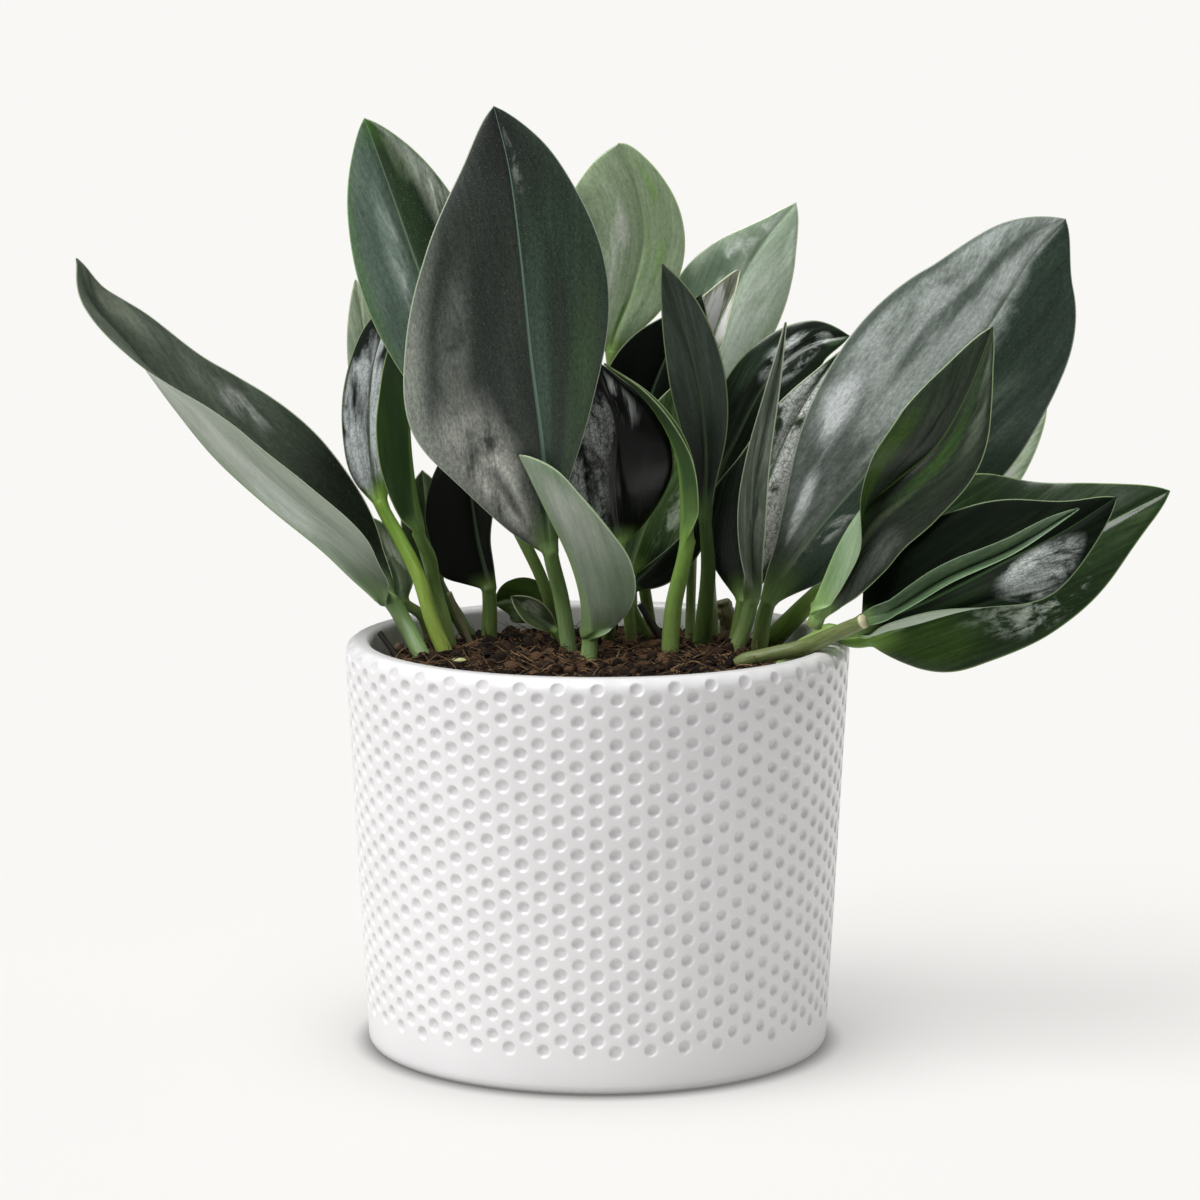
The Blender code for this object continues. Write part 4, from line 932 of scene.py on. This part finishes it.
    "leaf_right_folded": dict(
        up=(64, 72, 60), up2=(86, 94, 82), under=(60, 70, 56), under2=(84, 92, 78), edge=(150, 162, 138), rough=0.3, stalk=(84, 104, 60), gain=1.5, specks=0.0,
        marks_sheen_and_shade=[(0, 0.5, 1.2, 0.6, (138, 144, 134), 0.75, (34, 4, 0.44, 0.6))]),
    "leaf_right_mottled": dict(
        wrinkle=1.0, up=(24, 32, 24), up2=(40, 50, 38), rib=(76, 92, 66), edge=(140, 152, 120), rough=0.26, gain=1.5, specks=0.0, crackle=(90.0, 60.0),
        marks_sheen_and_shade=[(0.35, 0.66, 0.7, 0.4, (176, 178, 174), 0.95, (18, 9, 0.34, 0.52, 0.75)), (0.5, 0.25, 0.4, 0.3, (150, 150, 144), 0.9, (24, 8, 0.40, 0.54, 0.75)),
                 (-0.55, 0.75, 0.45, 0.2, (160, 164, 160), 0.9, SILVER), (-0.8, 0.2, 0.5, 0.3, (14, 20, 14), 0.8, None)]),
    "leaf_right_large": dict(
        wrinkle=0.6, up=(82, 92, 84), up2=(110, 119, 112), half_tone_and_shade=((36, 50, 40), (50, 65, 54)), half_tone_and_shade_side=1, streaks=0.16, rib=(108, 124, 102), edge=(160, 174, 150), rough=0.32, stalk=(90, 112, 64), gain=1.12, specks=0.18, skin=0.38,
        crackle=(150.0, 64.0),
        marks_sheen_and_shade=[(-0.5, 0.64, 0.75, 0.55, (182, 190, 186), 0.9, (13, 5, 0.28, 0.62, 0.22)), (-0.42, 0.74, 0.13, 0.34, (72, 84, 76), 0.85, FULL), (-0.96, 0.62, 0.1, 0.5, (66, 78, 68), 0.8, None),
                 (-0.16, 0.80, 0.16, 0.3, (176, 183, 180), 0.7, FULL), (-0.60, 0.07, 1.2, 0.16, (64, 72, 62), 0.85, None), (-0.55, 0.31, 0.62, 0.17, (46, 57, 48), 0.82, FULL),
                 (-0.68, 0.42, 0.22, 0.12, (176, 183, 180), 0.8, SILK), (-0.69, 0.42, 0.20, 0.11, (216, 221, 222), 0.97, (20, 5, 0.38, 0.58)), (-0.58, 0.21, 0.20, 0.10, (170, 176, 174), 0.8, SILK), (-0.58, 0.21, 0.18, 0.10, (212, 217, 218), 0.97, (20, 5, 0.38, 0.58)), (0.2, 0.21, 0.16, 0.1, (150, 156, 150), 0.8, BLOTCH),
                 (-0.05, 0.12, 0.3, 0.1, (104, 108, 98), 0.7, BLOTCH), (0.60, 0.62, 0.3, 0.12, (92, 104, 92), 0.7, SILK), (0.5, 0.42, 0.3, 0.14, (104, 114, 104), 0.7, FULL), (0.85, 0.8, 0.2, 0.3, (58, 76, 64), 0.6, SILK)]),
    "leaf_back_right_low": dict(up=(80, 96, 74), up2=(110, 124, 100), edge=(150, 166, 128), stalk=(104, 128, 62), foot=(84, 106, 46), rough=0.3, gain=2.6, specks=0.0,
        marks_sheen_and_shade=[(0.5, 0.6, 0.6, 0.5, (168, 178, 158), 0.8, FULL)]),
    "leaf_front_right_upright": dict(
        up=(34, 44, 32), up2=(48, 58, 44), rib=(84, 118, 46), rib_width=0.8, rib_fade=0.5, streaks=0.22, skin=0.32, under=(112, 138, 104), under2=(138, 160, 128), edge=(150, 172, 124), stalk=(112, 140, 82), rough=0.28, gain=1.06, specks=0.05, spec=0.35,
        marks_sheen_and_shade=[(-0.78, 0.35, 0.34, 0.42, (66, 94, 34), 0.85, FULL), (-0.35, 0.72, 0.28, 0.3, (58, 66, 56), 0.8, SILK), (-0.30, 0.62, 0.05, 0.26, (10, 14, 8), 0.8, None),
                 (0.0, 0.16, 0.30, 0.30, (84, 124, 34), 0.95, FULL), (0.02, 0.55, 0.26, 0.28, (18, 26, 14), 0.9, FULL), (0.26, 0.66, 0.2, 0.34, (60, 92, 38), 0.75, SILK),
                 (0.62, 0.80, 0.3, 0.24, (104, 116, 98), 0.8, SILK), (0.72, 0.55, 0.3, 0.2, (50, 58, 46), 0.7, SILK), (0.72, 0.24, 0.3, 0.2, (112, 118, 110), 0.85, (26, 3, 0.36, 0.6)), (0.35, 0.34, 0.1, 0.24, (110, 124, 92), 0.5, SILK)],
        under_marks_and_sheen=[(-0.7, 0.3, 0.5, 0.3, (150, 172, 138), 0.8, FULL), (-0.3, 0.08, 0.6, 0.2, (104, 134, 84), 0.7, None)]),
    "leaf_right_low_dark": dict(
        wrinkle=0.9, up=(12, 19, 12), up2=(19, 28, 18), under=(158, 176, 154), under2=(176, 190, 170), rib=(54, 74, 46), edge=(134, 152, 118), rough=0.45, coat=0.0, spec=0.03, stalk=(110, 134, 80), gain=1.0, specks=0.0, crackle=(120.0, 70.0), skin=0.12,
        marks_sheen_and_shade=[(0.50, 0.68, 0.55, 0.18, (178, 185, 181), 0.95, (20, 7, 0.37, 0.60, 0.55)), (0.3, 0.40, 0.5, 0.2, (34, 50, 26), 0.8, SILK), (0.75, 0.50, 0.2, 0.2, (66, 82, 60), 0.5, SILK), (-0.5, 0.75, 0.3, 0.2, (28, 38, 28), 0.6, SILK)]),
    "leaf_young_rolled": dict(up=(62, 82, 58), up2=(82, 102, 75), under=(56, 78, 52), under2=(78, 100, 70), edge=(112, 134, 104), stalk=(96, 120, 70), foot=(112, 134, 82), rough=0.34, gain=1.42, specks=0.0, edge_width=0.25,
        marks_sheen_and_shade=[(0.3, 0.85, 0.9, 0.14, (136, 158, 136), 0.8, SILK), (0.0, 0.4, 0.4, 0.4, (70, 100, 56), 0.6, FULL)],
        under_marks_and_sheen=[(0.0, 0.85, 1.2, 0.14, (130, 156, 132), 0.8, SILK)]),
    "leaf_right_low_green": dict(
        wrinkle=0.4, up=(30, 46, 24), up2=(42, 62, 32), rib=(84, 112, 62), edge=(120, 144, 88), rough=0.24, coat=0.15, under=(80, 100, 64), stalk=(92, 120, 54), gain=1.15, spec=0.35, specks=0.02,
        marks_sheen_and_shade=[(0.52, 0.50, 0.46, 0.2, (186, 194, 184), 0.9, (24, 12, 0.45, 0.62, 0.4)), (0.36, 0.36, 0.28, 0.18, (136, 148, 132), 0.75, (26, 12, 0.46, 0.66)), (0.5, 0.16, 0.6, 0.24, (56, 82, 30), 0.85, FULL),
                 (-0.5, 0.8, 0.5, 0.2, (70, 78, 68), 0.7, SILK), (0.5, 0.86, 0.3, 0.14, (66, 86, 54), 0.7, SILK)]),
}

LEAVES = []


def row(name, path, slot, **kw):
    LEAVES.append((name, path, slot, kw))


row("leaf_tall_front", [(-7, 0, F), (-10, -2, 125), (-13, -6, 139), (-15, -12, 168), (-18, -15, 193), (-21, -16, 223), (-24, -13, 245), (-28, -10, 261)], "leaf_dark",
    neck=2, left=(38, 40, 34, 30, 27), right=(10, 17, 23, 26, 27), face=(0.2, -1, 0.1), fold=8, curl=25, stalk=(2.3, 2.1), swell_by=5.0)
row("leaf_tall_left", [(-10, 20, F), (-15, 6, 128), (-26, 4, 152), (-37, 4, 183), (-48, 5, 212), (-55, 6, 232), (-61, 7, 249), (-64, 8, 257)], "leaf_dark",
    neck=2, left=(15, 15, 17, 19, 21), right=(18, 20, 20, 20, 22), face=(-0.1, -1, 0.15), fold=8, curl=25, stalk=(1.7, 1.7))
row("leaf_back_left_narrow", [(-41, 35, F), (-50, 28, 137), (-55, 28, 155), (-63, 28, 180), (-68, 28, 211)], "leaf_silver",
    neck=2, left=(6, 6, 6, 6, 6), right=(8, 8, 8, 8, 8), face=(-0.2, -1, 0.1), stalk=(1.5, 1.3), big=False)
row("leaf_left_upright", [(-41, 9, F), (-46, 10, 116), (-50, 12, 129), (-56, 17, 140), (-61, 20, 149), (-64, 21, 166), (-63, 22, 187), (-57, 23, 206)], "leaf_dark",
    neck=4, left=(12, 9, 8, 8, 10), right=(12, 10, 10, 10, 10), face=(-0.4, -1, 0.1), fold=18, curl=20, stalk=(2.3, 1.9), big=False, ripple=0.16)
row("leaf_left_folded", [(-41, 19, F), (-43, 18, 115), (-46, 17, 126), (-47, 14, 134), (-50, 9, 142), (-52, 7, 163), (-53, 10, 179), (-56, 13, 198)], "leaf_green",
    neck=4, left=(7, 7, 7, 7, 8), right=(12, 12, 12, 12, 13), face=(-1, -0.1, 0.1), fold=[(45, 58), (45, 58), (45, 50)], curl=10, stalk=(2, 1.9), big=False)
row("leaf_left_spreading", [(-47, 3, F), (-51, 8, 111), (-54, 12, 116), (-58, 14, 122), (-68, 14, 130), (-76, 13, 137), (-91, 11, 149), (-106, 9, 163), (-117, 7, 177), (-129, 5, 194), (-140, 3, 208), (-143, 2, 219)], "leaf_dark",
    neck=3, left=(40, 31, 24, 21, 14), right=(30, 29, 25, 18, 17), face=[(0.69, -0.34, 0.64), (0.69, -0.34, 0.64), (0.6, -0.6, 0.5)], fold=[(60, 50), (58, 42), (18, 15)], curl=10, stalk=(2.5, 2.4))
row("leaf_back_low", [(-31, 29, F), (-31, 31, 123), (-34, 31, 137), (-36, 31, 151), (-38, 30, 169)], "leaf_dark",
    neck=1, left=(24, 16, 14, 13, 12), right=(4, 4, 6, 8, 8), face=(0, -1, -0.1), stalk=(2.4, 2), big=False)
row("leaf_back_low_dark", [(-34, 36, F), (-40, 35, 114), (-46, 36, 125), (-48, 36, 139), (-50, 37, 156)], "leaf_dark",
    neck=2, left=(8, 8, 8, 8, 8), right=(8, 8, 8, 8, 8), face=(0, -1, 0), stalk=(2.2, 1.8), big=False)
row("leaf_left_small", [(-47, 31, F), (-50, 26, 116), (-55, 26, 120), (-57, 26, 128), (-60, 26, 135), (-64, 26, 144)], "leaf_dark",
    neck=2, left=(6, 6, 6, 6, 6), right=(6, 6, 6, 6, 6), face=(0, -1, 0.2), stalk=(1.6, 1.5), big=False)
row("leaf_top_centre", [(10, 48, F), (8, 38, 170), (4, 36, 190), (10, 36, 208), (13, 36, 223), (11, 35, 237), (6, 34, 249)], "leaf_green",
    neck=2, left=(20, 21, 22, 24, 32), right=(11, 12, 12, 11, 9), face=(0.1, -1, 0.3), fold=12, curl=20, stalk=(1.8, 1.6), blunt=0.5, swell_by=5.0)
row("leaf_top_right", [(22, 50, F), (26, 40, 167), (33, 40, 190), (39, 40, 207), (47, 39, 221), (56, 38, 232)], "leaf_silver",
    neck=1, left=(18, 18, 17, 14, 8), right=(10, 14, 15, 16, 17), face=(0.1, -1, 0.3), fold=12, curl=20, stalk=(1.8, 1.6))
row("leaf_small_folded", [(26, 29, F), (29, 30, 177), (32, 31, 193), (37, 31, 206), (40, 31, 214)], "leaf_green",
    neck=1, left=(9, 9, 9, 9, 8), right=(4, 4, 4, 3, 3), face=(-0.2, -1, 0.2), fold=30, stalk=(1.4, 1.3), big=False)
row("leaf_centre_narrow", [(29, 21, F), (31, 12, 131), (30, 8, 147), (30, 7, 167), (28, 6, 184), (23, 7, 203), (18, 8, 217)], "leaf_dark",
    neck=2, left=(7, 7, 8, 8, 8), right=(5, 7, 8, 9, 10), face=(-0.1, -1, 0), fold=15, stalk=(2.8, 1.7), big=False)
row("leaf_back_centre", [(16, 42, F), (10, 26, 155), (13, 26, 172), (19, 26, 189), (29, 26, 207)], "leaf_dark",
    neck=1, left=(15, 15, 14, 12, 8), right=(14, 14, 14, 14, 14), face=(0, -1, 0.2), stalk=(1.8, 1.6), big=False)
row("leaf_centre_broad", [(2, 24, F), (5, 5, 127), (6, 8, 139), (5, 5, 157), (5, 4, 174), (0, 6, 190)], "leaf_dark",
    neck=2, left=(17, 17, 16, 16, 16), right=(17, 17, 16, 14, 10), face=(0, -1, 0.25), fold=12, curl=25, stalk=(1.8, 1.6), big=False, ripple=0.2)
row("leaf_centre_folded", [(20, 3, F), (21, 3, 121), (25, 0, 141), (24, -1, 153), (22, -1, 165), (18, -1, 174), (12, 0, 182), (2, 3, 190)], "leaf_green",
    neck=2, left=(11, 9, 6, 4, 3), right=(6, 5, 4, 3, 2), face=(0.95, -0.25, 0.3), fold=45, stalk=(2.5, 2.3), big=False)
row("leaf_inner_pale", [(10, 20, F), (9, 16, 129), (16, 17, 150), (23, 18, 167), (29, 20, 187)], "leaf_pale",
    neck=1, left=(14, 14, 14, 14, 14), right=(14, 14, 14, 14, 14), face=(0, -1, 0.4), stalk=(1.7, 1.6), big=False, ripple=0.2)
row("leaf_inner_dark", [(17, 30, F), (9, 24, 123), (16, 25, 131), (26, 26, 141), (31, 27, 147)], "leaf_dark",
    neck=1, left=(8, 8, 8, 8, 8), right=(8, 8, 8, 8, 8), face=(0, -1, 0.2), stalk=(1.6, 1.5), big=False)
row("leaf_front_small", [(-3, -10, F), (-2, -8, 115), (-3, -10, 124), (-7, -12, 137), (-14, -15, 152), (-21, -17, 167)], "leaf_pale",
    neck=1, left=(24, 18, 13, 12, 14), right=(18, 17, 13, 12, 14), face=(1, 0.15, 0.2), fold=75, stalk=(2.6, 2.3))
row("leaf_young_back", [(-11, 46, F), (-14, 45, 111), (-20, 48, 116), (-25, 50, 117), (-30, 50, 116)], "leaf_pale",
    neck=1, left=(7, 7, 7, 7, 7), right=(7, 7, 7, 7, 7), face=(0, -1, 0.3), stalk=(1.5, 1.4), big=False)
row("leaf_torn_scrap", [(-6, 9, F), (-12, 5, 115), (-18, 4, 120), (-24, 3, 125)], "leaf_pale",
    neck=1, left=(4, 4, 4, 4, 4), right=(4, 4, 4, 4, 4), face=(0, -1, 0.5), fold=30, stalk=(1.2, 1), big=False, ripple=0.25)
row("leaf_back_right", [(33, 36, F), (32, 33, 147), (39, 33, 165), (50, 33, 185), (61, 33, 193), (71, 32, 195)], "leaf_dark",
    neck=1, left=(10, 10, 10, 10, 12), right=(12, 14, 14, 12, 12), face=(-0.1, -1, 0.2), fold=12, curl=20, stalk=(2, 1.8), ripple=0.2)
row("leaf_right_folded", [(37, 8, F), (43, 7, 123), (43, 4, 141), (44, 3, 160), (48, 4, 180), (52, 6, 201)], "leaf_green",
    neck=1, left=(11, 11, 8, 7, 6), right=(6, 5, 4, 3, 3), face=(0.2, -1, 0), fold=50, stalk=(2.3, 2), big=False)
row("leaf_right_mottled", [(38, 16, F), (41, 15, 122), (43, 15, 139), (49, 16, 159), (57, 17, 176), (68, 18, 192)], "leaf_silver",
    neck=1, left=(20, 17, 10, 8, 6), right=(14, 14, 14, 14, 14), face=(-0.1, -1, 0.2), fold=12, curl=20, stalk=(2.3, 2))
row("leaf_right_large", [(45, 16, F), (48, 13, 122), (58, 8, 139), (73, 4, 158), (92, 0, 182), (108, -2, 202), (119, -2, 220), (128, -1, 230)], "leaf_silver",
    neck=1, left=(14, 23, 27, 30, 33), right=(24, 26, 30, 31, 34), face=(0.1, -1, 0.2), curl=20, stalk=(2.5, 2.2), swell_by=5.0)
row("leaf_back_right_low", [(46, 33, F), (64, 18, 125), (85, 18, 142), (107, 20, 158), (126, 22, 175)], "leaf_dark",
    neck=1, left=(14, 14, 14, 14, 14), right=(14, 14, 14, 14, 14), face=(-0.1, -1, 0.4), stalk=(3.2, 2.6), big=False)
row("leaf_front_right_upright", [(59, -23, 121), (60, -24, 124), (62, -25, 132), (66, -26, 144), (72, -28, 154), (81, -30, 162), (91, -31, 171), (99, -31, 185), (106, -29, 203)], "leaf_dark",
    neck=1, left=(14, 14, 13, 15, 15), right=(24, 18, 15, 13, 9), face=[(0.1, -1, 0.1), (0, -1, 0.2), (0, -1, 0.2)], fold=[(122, 40), (108, 20), (45, 10), (12, 10), (10, 10)], curl=[(0, 15), (0, 15), (10, 15), (15, 15), (15, 15)], stalk=(2.2, 2.2))
row("leaf_right_low_dark", [(46, 0, F), (58, -9, 114), (64, -13, 117), (72, -19, 119), (79, -27, 124), (88, -34, 129), (108, -38, 140), (125, -38, 149), (139, -37, 158)], "leaf_dark",
    neck=3, left=(30, 23, 19, 17, 12), right=(18, 18, 17, 16, 14), face=[(-0.1, -0.9, 0.3), (-0.1, -0.9, 0.3), (-0.1, -1, 0.3)], fold=[(8, 10), (8, 10), (8, 10), (8, 8), (8, 8)], curl=[(15, -100), (15, -120), (15, -70), (15, 0), (15, 15)], stalk=(2, 1.9), ripple=0.18)
row("leaf_young_rolled", [(48, -6, F), (57, -14, 114), (63, -19, 117), (72, -27, 123), (79, -35, 127), (93, -43, 137), (111, -47, 146), (128, -45, 156)], "leaf_green",
    neck=3, left=(6, 6, 6, 6, 8), right=(6, 6, 5, 5, 5), face=(-0.1, -1, 0.3), fold=60, stalk=(1.8, 1.7), big=False)
row("leaf_right_low_green", [(48, 6, F), (59, -3, 113), (64, -7, 117), (70, -11, 115), (75, -15, 116), (97, -17, 126), (121, -18, 138), (140, -18, 149), (156, -16, 157)], "leaf_green",
    neck=4, left=(26, 31, 30, 21, 17), right=(30, 22, 19, 17, 14), face=(-0.1, -1, 0.3), curl=20, stalk=(2.2, 2), ripple=0.22)

for k, (name, path, slot, kw) in enumerate(LEAVES):
    leaf(name, path, mat=leaf_material(name + "_tissue", seed=3.0 + 1.7 * k, **LOOK[name]), seed=40 + 7 * k, slot=slot, **kw)


# ---------------------------------------------------------------- stems and small pieces
def stem_material(name, a, b, scar, rough=0.45, end=None):
    g = Graph(name)
    ux, uy = g.uv("Leaf")
    rx, ry = g.uv("Real")
    pos = g.position(1000.0)
    n1 = g.noise(g.xyz(g.math("MULTIPLY", rx, 500.0), g.math("MULTIPLY", ry, 18.0), 1.0), 1.0, 3.0, 0.6)
    n2 = g.noise(pos, 0.9, 4.0, 0.6)
    col = g.mix(g.remap(n1, 0.3, 0.7, 0.0, 1.0), lin(*a), lin(*b))
    col = g.mix(g.math("MULTIPLY", g.step(n2, 0.60, 0.72), 0.5), col, lin(*scar))
    if end is not None:
        col = g.mix(g.step(uy, 0.975, 0.995), col, lin(*end))
    g.bump(n1, 0.5, 0.00025)
    return g.set(Base_Color=col, Roughness=g.remap(n2, 0.3, 0.7, rough - 0.06, rough + 0.12))


CANE = stem_material("cane_green", (86, 98, 52), (120, 132, 80), (150, 144, 104), 0.42, end=(214, 206, 168))
WOOD = stem_material("stub_brown", (98, 92, 66), (146, 140, 110), (192, 186, 158), 0.7)
DARK_WOOD = stem_material("stub_dark", (18, 15, 8), (34, 28, 15), (60, 52, 30), 0.7)
tube("stem_cut_cane_fine", [(38, -14, F), (39, -15, 109), (47, -18, 112), (57, -22, 115), (65, -29, 120), (72, -34, 124)], (2.0, 2.1, 2.1, 2.35, 2.05, 1.9), CANE, "stem_cut_cane", 24, 70, 0.05, 5)
tube("stem_stub_centre_fine", [(4, 33, F), (4, 33, 111), (3, 33, 117)], (2.2, 1.8), DARK_WOOD, "stem_stub_centre", 16, 24, 0.15, 6)
tube("stem_stub_knobby_fine", [(38, 42, F), (38, 41, 110), (36, 40, 118)], (2.4, 3.0, 2.2), WOOD, "stem_stub_knobby", 18, 30, 0.3, 7)
tube("stem_thin_dark_fine", [(22, 20, F), (17, 20, 112), (12, 22, 120)], (1.2, 1.0), DARK_WOOD, "stem_thin_dark", 12, 20, 0.1, 8)
tube("twig_left_fine", [(-34, 24, F), (-38, 24, 113), (-42, 24, 123)], (1.0, 0.7), WOOD, "twig_left", 10, 24, 0.2, 9)
tube("twig_edge_fine", [(-53, 2, F), (-57, 5, 109), (-61, 8, 114)], (0.9, 0.8), DARK_WOOD, "twig_edge", 10, 20, 0.2, 10)


def lump(name, x, y, size, lift, mat, node, seed, rough=0.18):
    n, m = 20, 28
    V = [(0, 0, -1.0)]
    for i in range(1, n):
        for j in range(m):
            a, b = pi * i / n, 2 * pi * j / m
            V.append((sin(a) * cos(b), sin(a) * sin(b), -cos(a)))
    V.append((0, 0, 1.0))
    V = np.array(V)
    V = V * (1 + rough * fbm(V * 1.6, seed, 3))[:, None]
    V = V * size + (x, y, lift + size[2])
    faces = [[0, 1 + (j + 1) % m, 1 + j] for j in range(m)]
    for i in range(n - 2):
        a, b = 1 + i * m, 1 + (i + 1) * m
        faces += [[a + j, a + (j + 1) % m, b + (j + 1) % m, b + j] for j in range(m)]
    last = 1 + (n - 2) * m
    faces += [[last + j, last + (j + 1) % m, len(V) - 1] for j in range(m)]
    return make_mesh(name, V, faces, mat, node=node)


def stone_material(name, a, b, rough):
    g = Graph(name)
    pos = g.position(1000.0)
    n1 = g.noise(pos, 1.6, 4.0, 0.6)
    col = g.mix(g.remap(n1, 0.3, 0.7, 0.0, 1.0), lin(*a), lin(*b))
    g.bump(n1, 0.5, 0.0003)
    return g.set(Base_Color=col, Roughness=rough)


lump("pebble_left_fine", -56, 18, (1.6, 1.4, 1.5), float(soil_height(-56, 18)) + 0.6, stone_material("pebble_speckled", (84, 66, 48), (150, 128, 106), 0.7), "pebble_left", 21)
lump("leaf_chip_fallen_fine", -38, -14, (2.2, 1.6, 0.7), float(soil_height(-38, -14)) + 0.5, stone_material("chip_pale_green", (160, 164, 104), (204, 206, 156), 0.55), "leaf_chip_fallen", 22)


# ---------------------------------------------------------------- studio
AIR = (0.06, 0.34)


def floor_material():
    """matt pale board, softly lit from below as a light table is, with painted shade round the pot's foot"""
    g = Graph("studio_floor")
    pos = g.position(1000.0)
    grain = g.noise(pos, 0.4, 2.0, 0.5)
    sep = g.n.new("ShaderNodeSeparateXYZ")
    g.link(pos, sep.inputs[0])
    x, y = sep.outputs[0], sep.outputs[1]
    r = g.math("SQRT", g.math("ADD", g.math("MULTIPLY", x, x), g.math("MULTIPLY", y, y)))
    # painted shade: a soft dark ring painted on the board round the pot's foot in place of its contact shadow
    k = g.math("SUBTRACT", 1.0, g.math("MULTIPLY", g.math("EXPONENT", g.math("MULTIPLY", g.math("SUBTRACT", r, 70.0), -1.0 / 14.0)), 0.17))
    k = g.math("SUBTRACT", k, g.math("MULTIPLY", g.step(r, 70.5, 62.5), 0.40))
    k = g.math("MULTIPLY", k, g.remap(grain, 0.3, 0.7, 0.999, 1.001))
    # and the board is dimmer well in front, where nothing stands
    k = g.math("MULTIPLY", k, g.remap(g.step(y, -180.0, -720.0), 0.0, 1.0, 1.0, 0.30))
    shade = g.xyz(k, k, k)
    col = g.mix(1.0, (0.302, 0.299, 0.293), shade, "MULTIPLY")
    glow = g.mix(1.0, (1.0, 0.991, 0.970), shade, "MULTIPLY")
    g.put(g.bsdf.inputs["Emission Color"], glow)
    g.bsdf.inputs["Emission Strength"].default_value = 0.578
    return g.set(Base_Color=col, Roughness=1.0, Specular_IOR_Level=0.0)


me = bpy.data.meshes.new("floor")
me.from_pydata([(-40, -60, 0), (40, -60, 0), (40, 60, 0), (-40, 60, 0)], [], [(0, 1, 2, 3)])
me.materials.append(floor_material())
floor = bpy.data.objects.new("floor", me)
bpy.context.scene.collection.objects.link(floor)

world = bpy.data.worlds.new("studio_air")
bpy.context.scene.world = world
world.use_nodes = True
# the air is bright overhead and dim towards the horizon
wt = world.node_tree
coord = wt.nodes.new("ShaderNodeTexCoord")
split = wt.nodes.new("ShaderNodeSeparateXYZ")
ramp = wt.nodes.new("ShaderNodeMapRange")
ramp.interpolation_type = "SMOOTHSTEP"
wt.links.new(coord.outputs["Generated"], split.inputs[0])
wt.links.new(split.outputs[2], ramp.inputs["Value"])
ramp.inputs["From Min"].default_value = 0.0
ramp.inputs["From Max"].default_value = 0.75
ramp.inputs["To Min"].default_value = AIR[0]
ramp.inputs["To Max"].default_value = AIR[1]
wt.nodes["Background"].inputs[0].default_value = (1.0, 1.0, 1.0, 1.0)
wt.links.new(ramp.outputs["Result"], wt.nodes["Background"].inputs[1])


def sun(name, azimuth, elevation, strength, angle, colour=(1, 1, 1)):
    """light from azimuth (0 front, -90 left, 90 right, 180 back)"""
    light = bpy.data.lights.new(name, "SUN")
    light.energy = strength
    light.angle = radians(angle)
    light.color = colour
    ob = bpy.data.objects.new(name, light)
    a, e = radians(azimuth), radians(elevation)
    to = Vector((sin(a) * cos(e), -cos(a) * cos(e), sin(e)))
    ob.rotation_euler = to.to_track_quat("Z", "Y").to_euler()
    bpy.context.scene.collection.objects.link(ob)


sun("top_left", -54, 59, 3.15, 42, (1.0, 0.998, 0.992))
sun("left_fill", -82, 12, 0.3, 100)
sun("rim_right", 105, 30, 0.26, 40)

cam = bpy.data.cameras.new("camera")
cam.sensor_width = 36.0
cam.lens = 36.0 * 4266.9 / 1200.0
cam.clip_start, cam.clip_end = 0.05, 200.0
camera = bpy.data.objects.new("camera", cam)
camera.location = (0.00069, -1.1707, 0.3056)
camera.rotation_euler = (pi / 2 - 0.1535, 0.0, 0.0)
bpy.context.scene.collection.objects.link(camera)
bpy.context.scene.camera = camera

view = bpy.context.scene.view_settings
view.view_transform = "Standard"
view.look = "None"
view.exposure = 0.0
view.gamma = 1.0

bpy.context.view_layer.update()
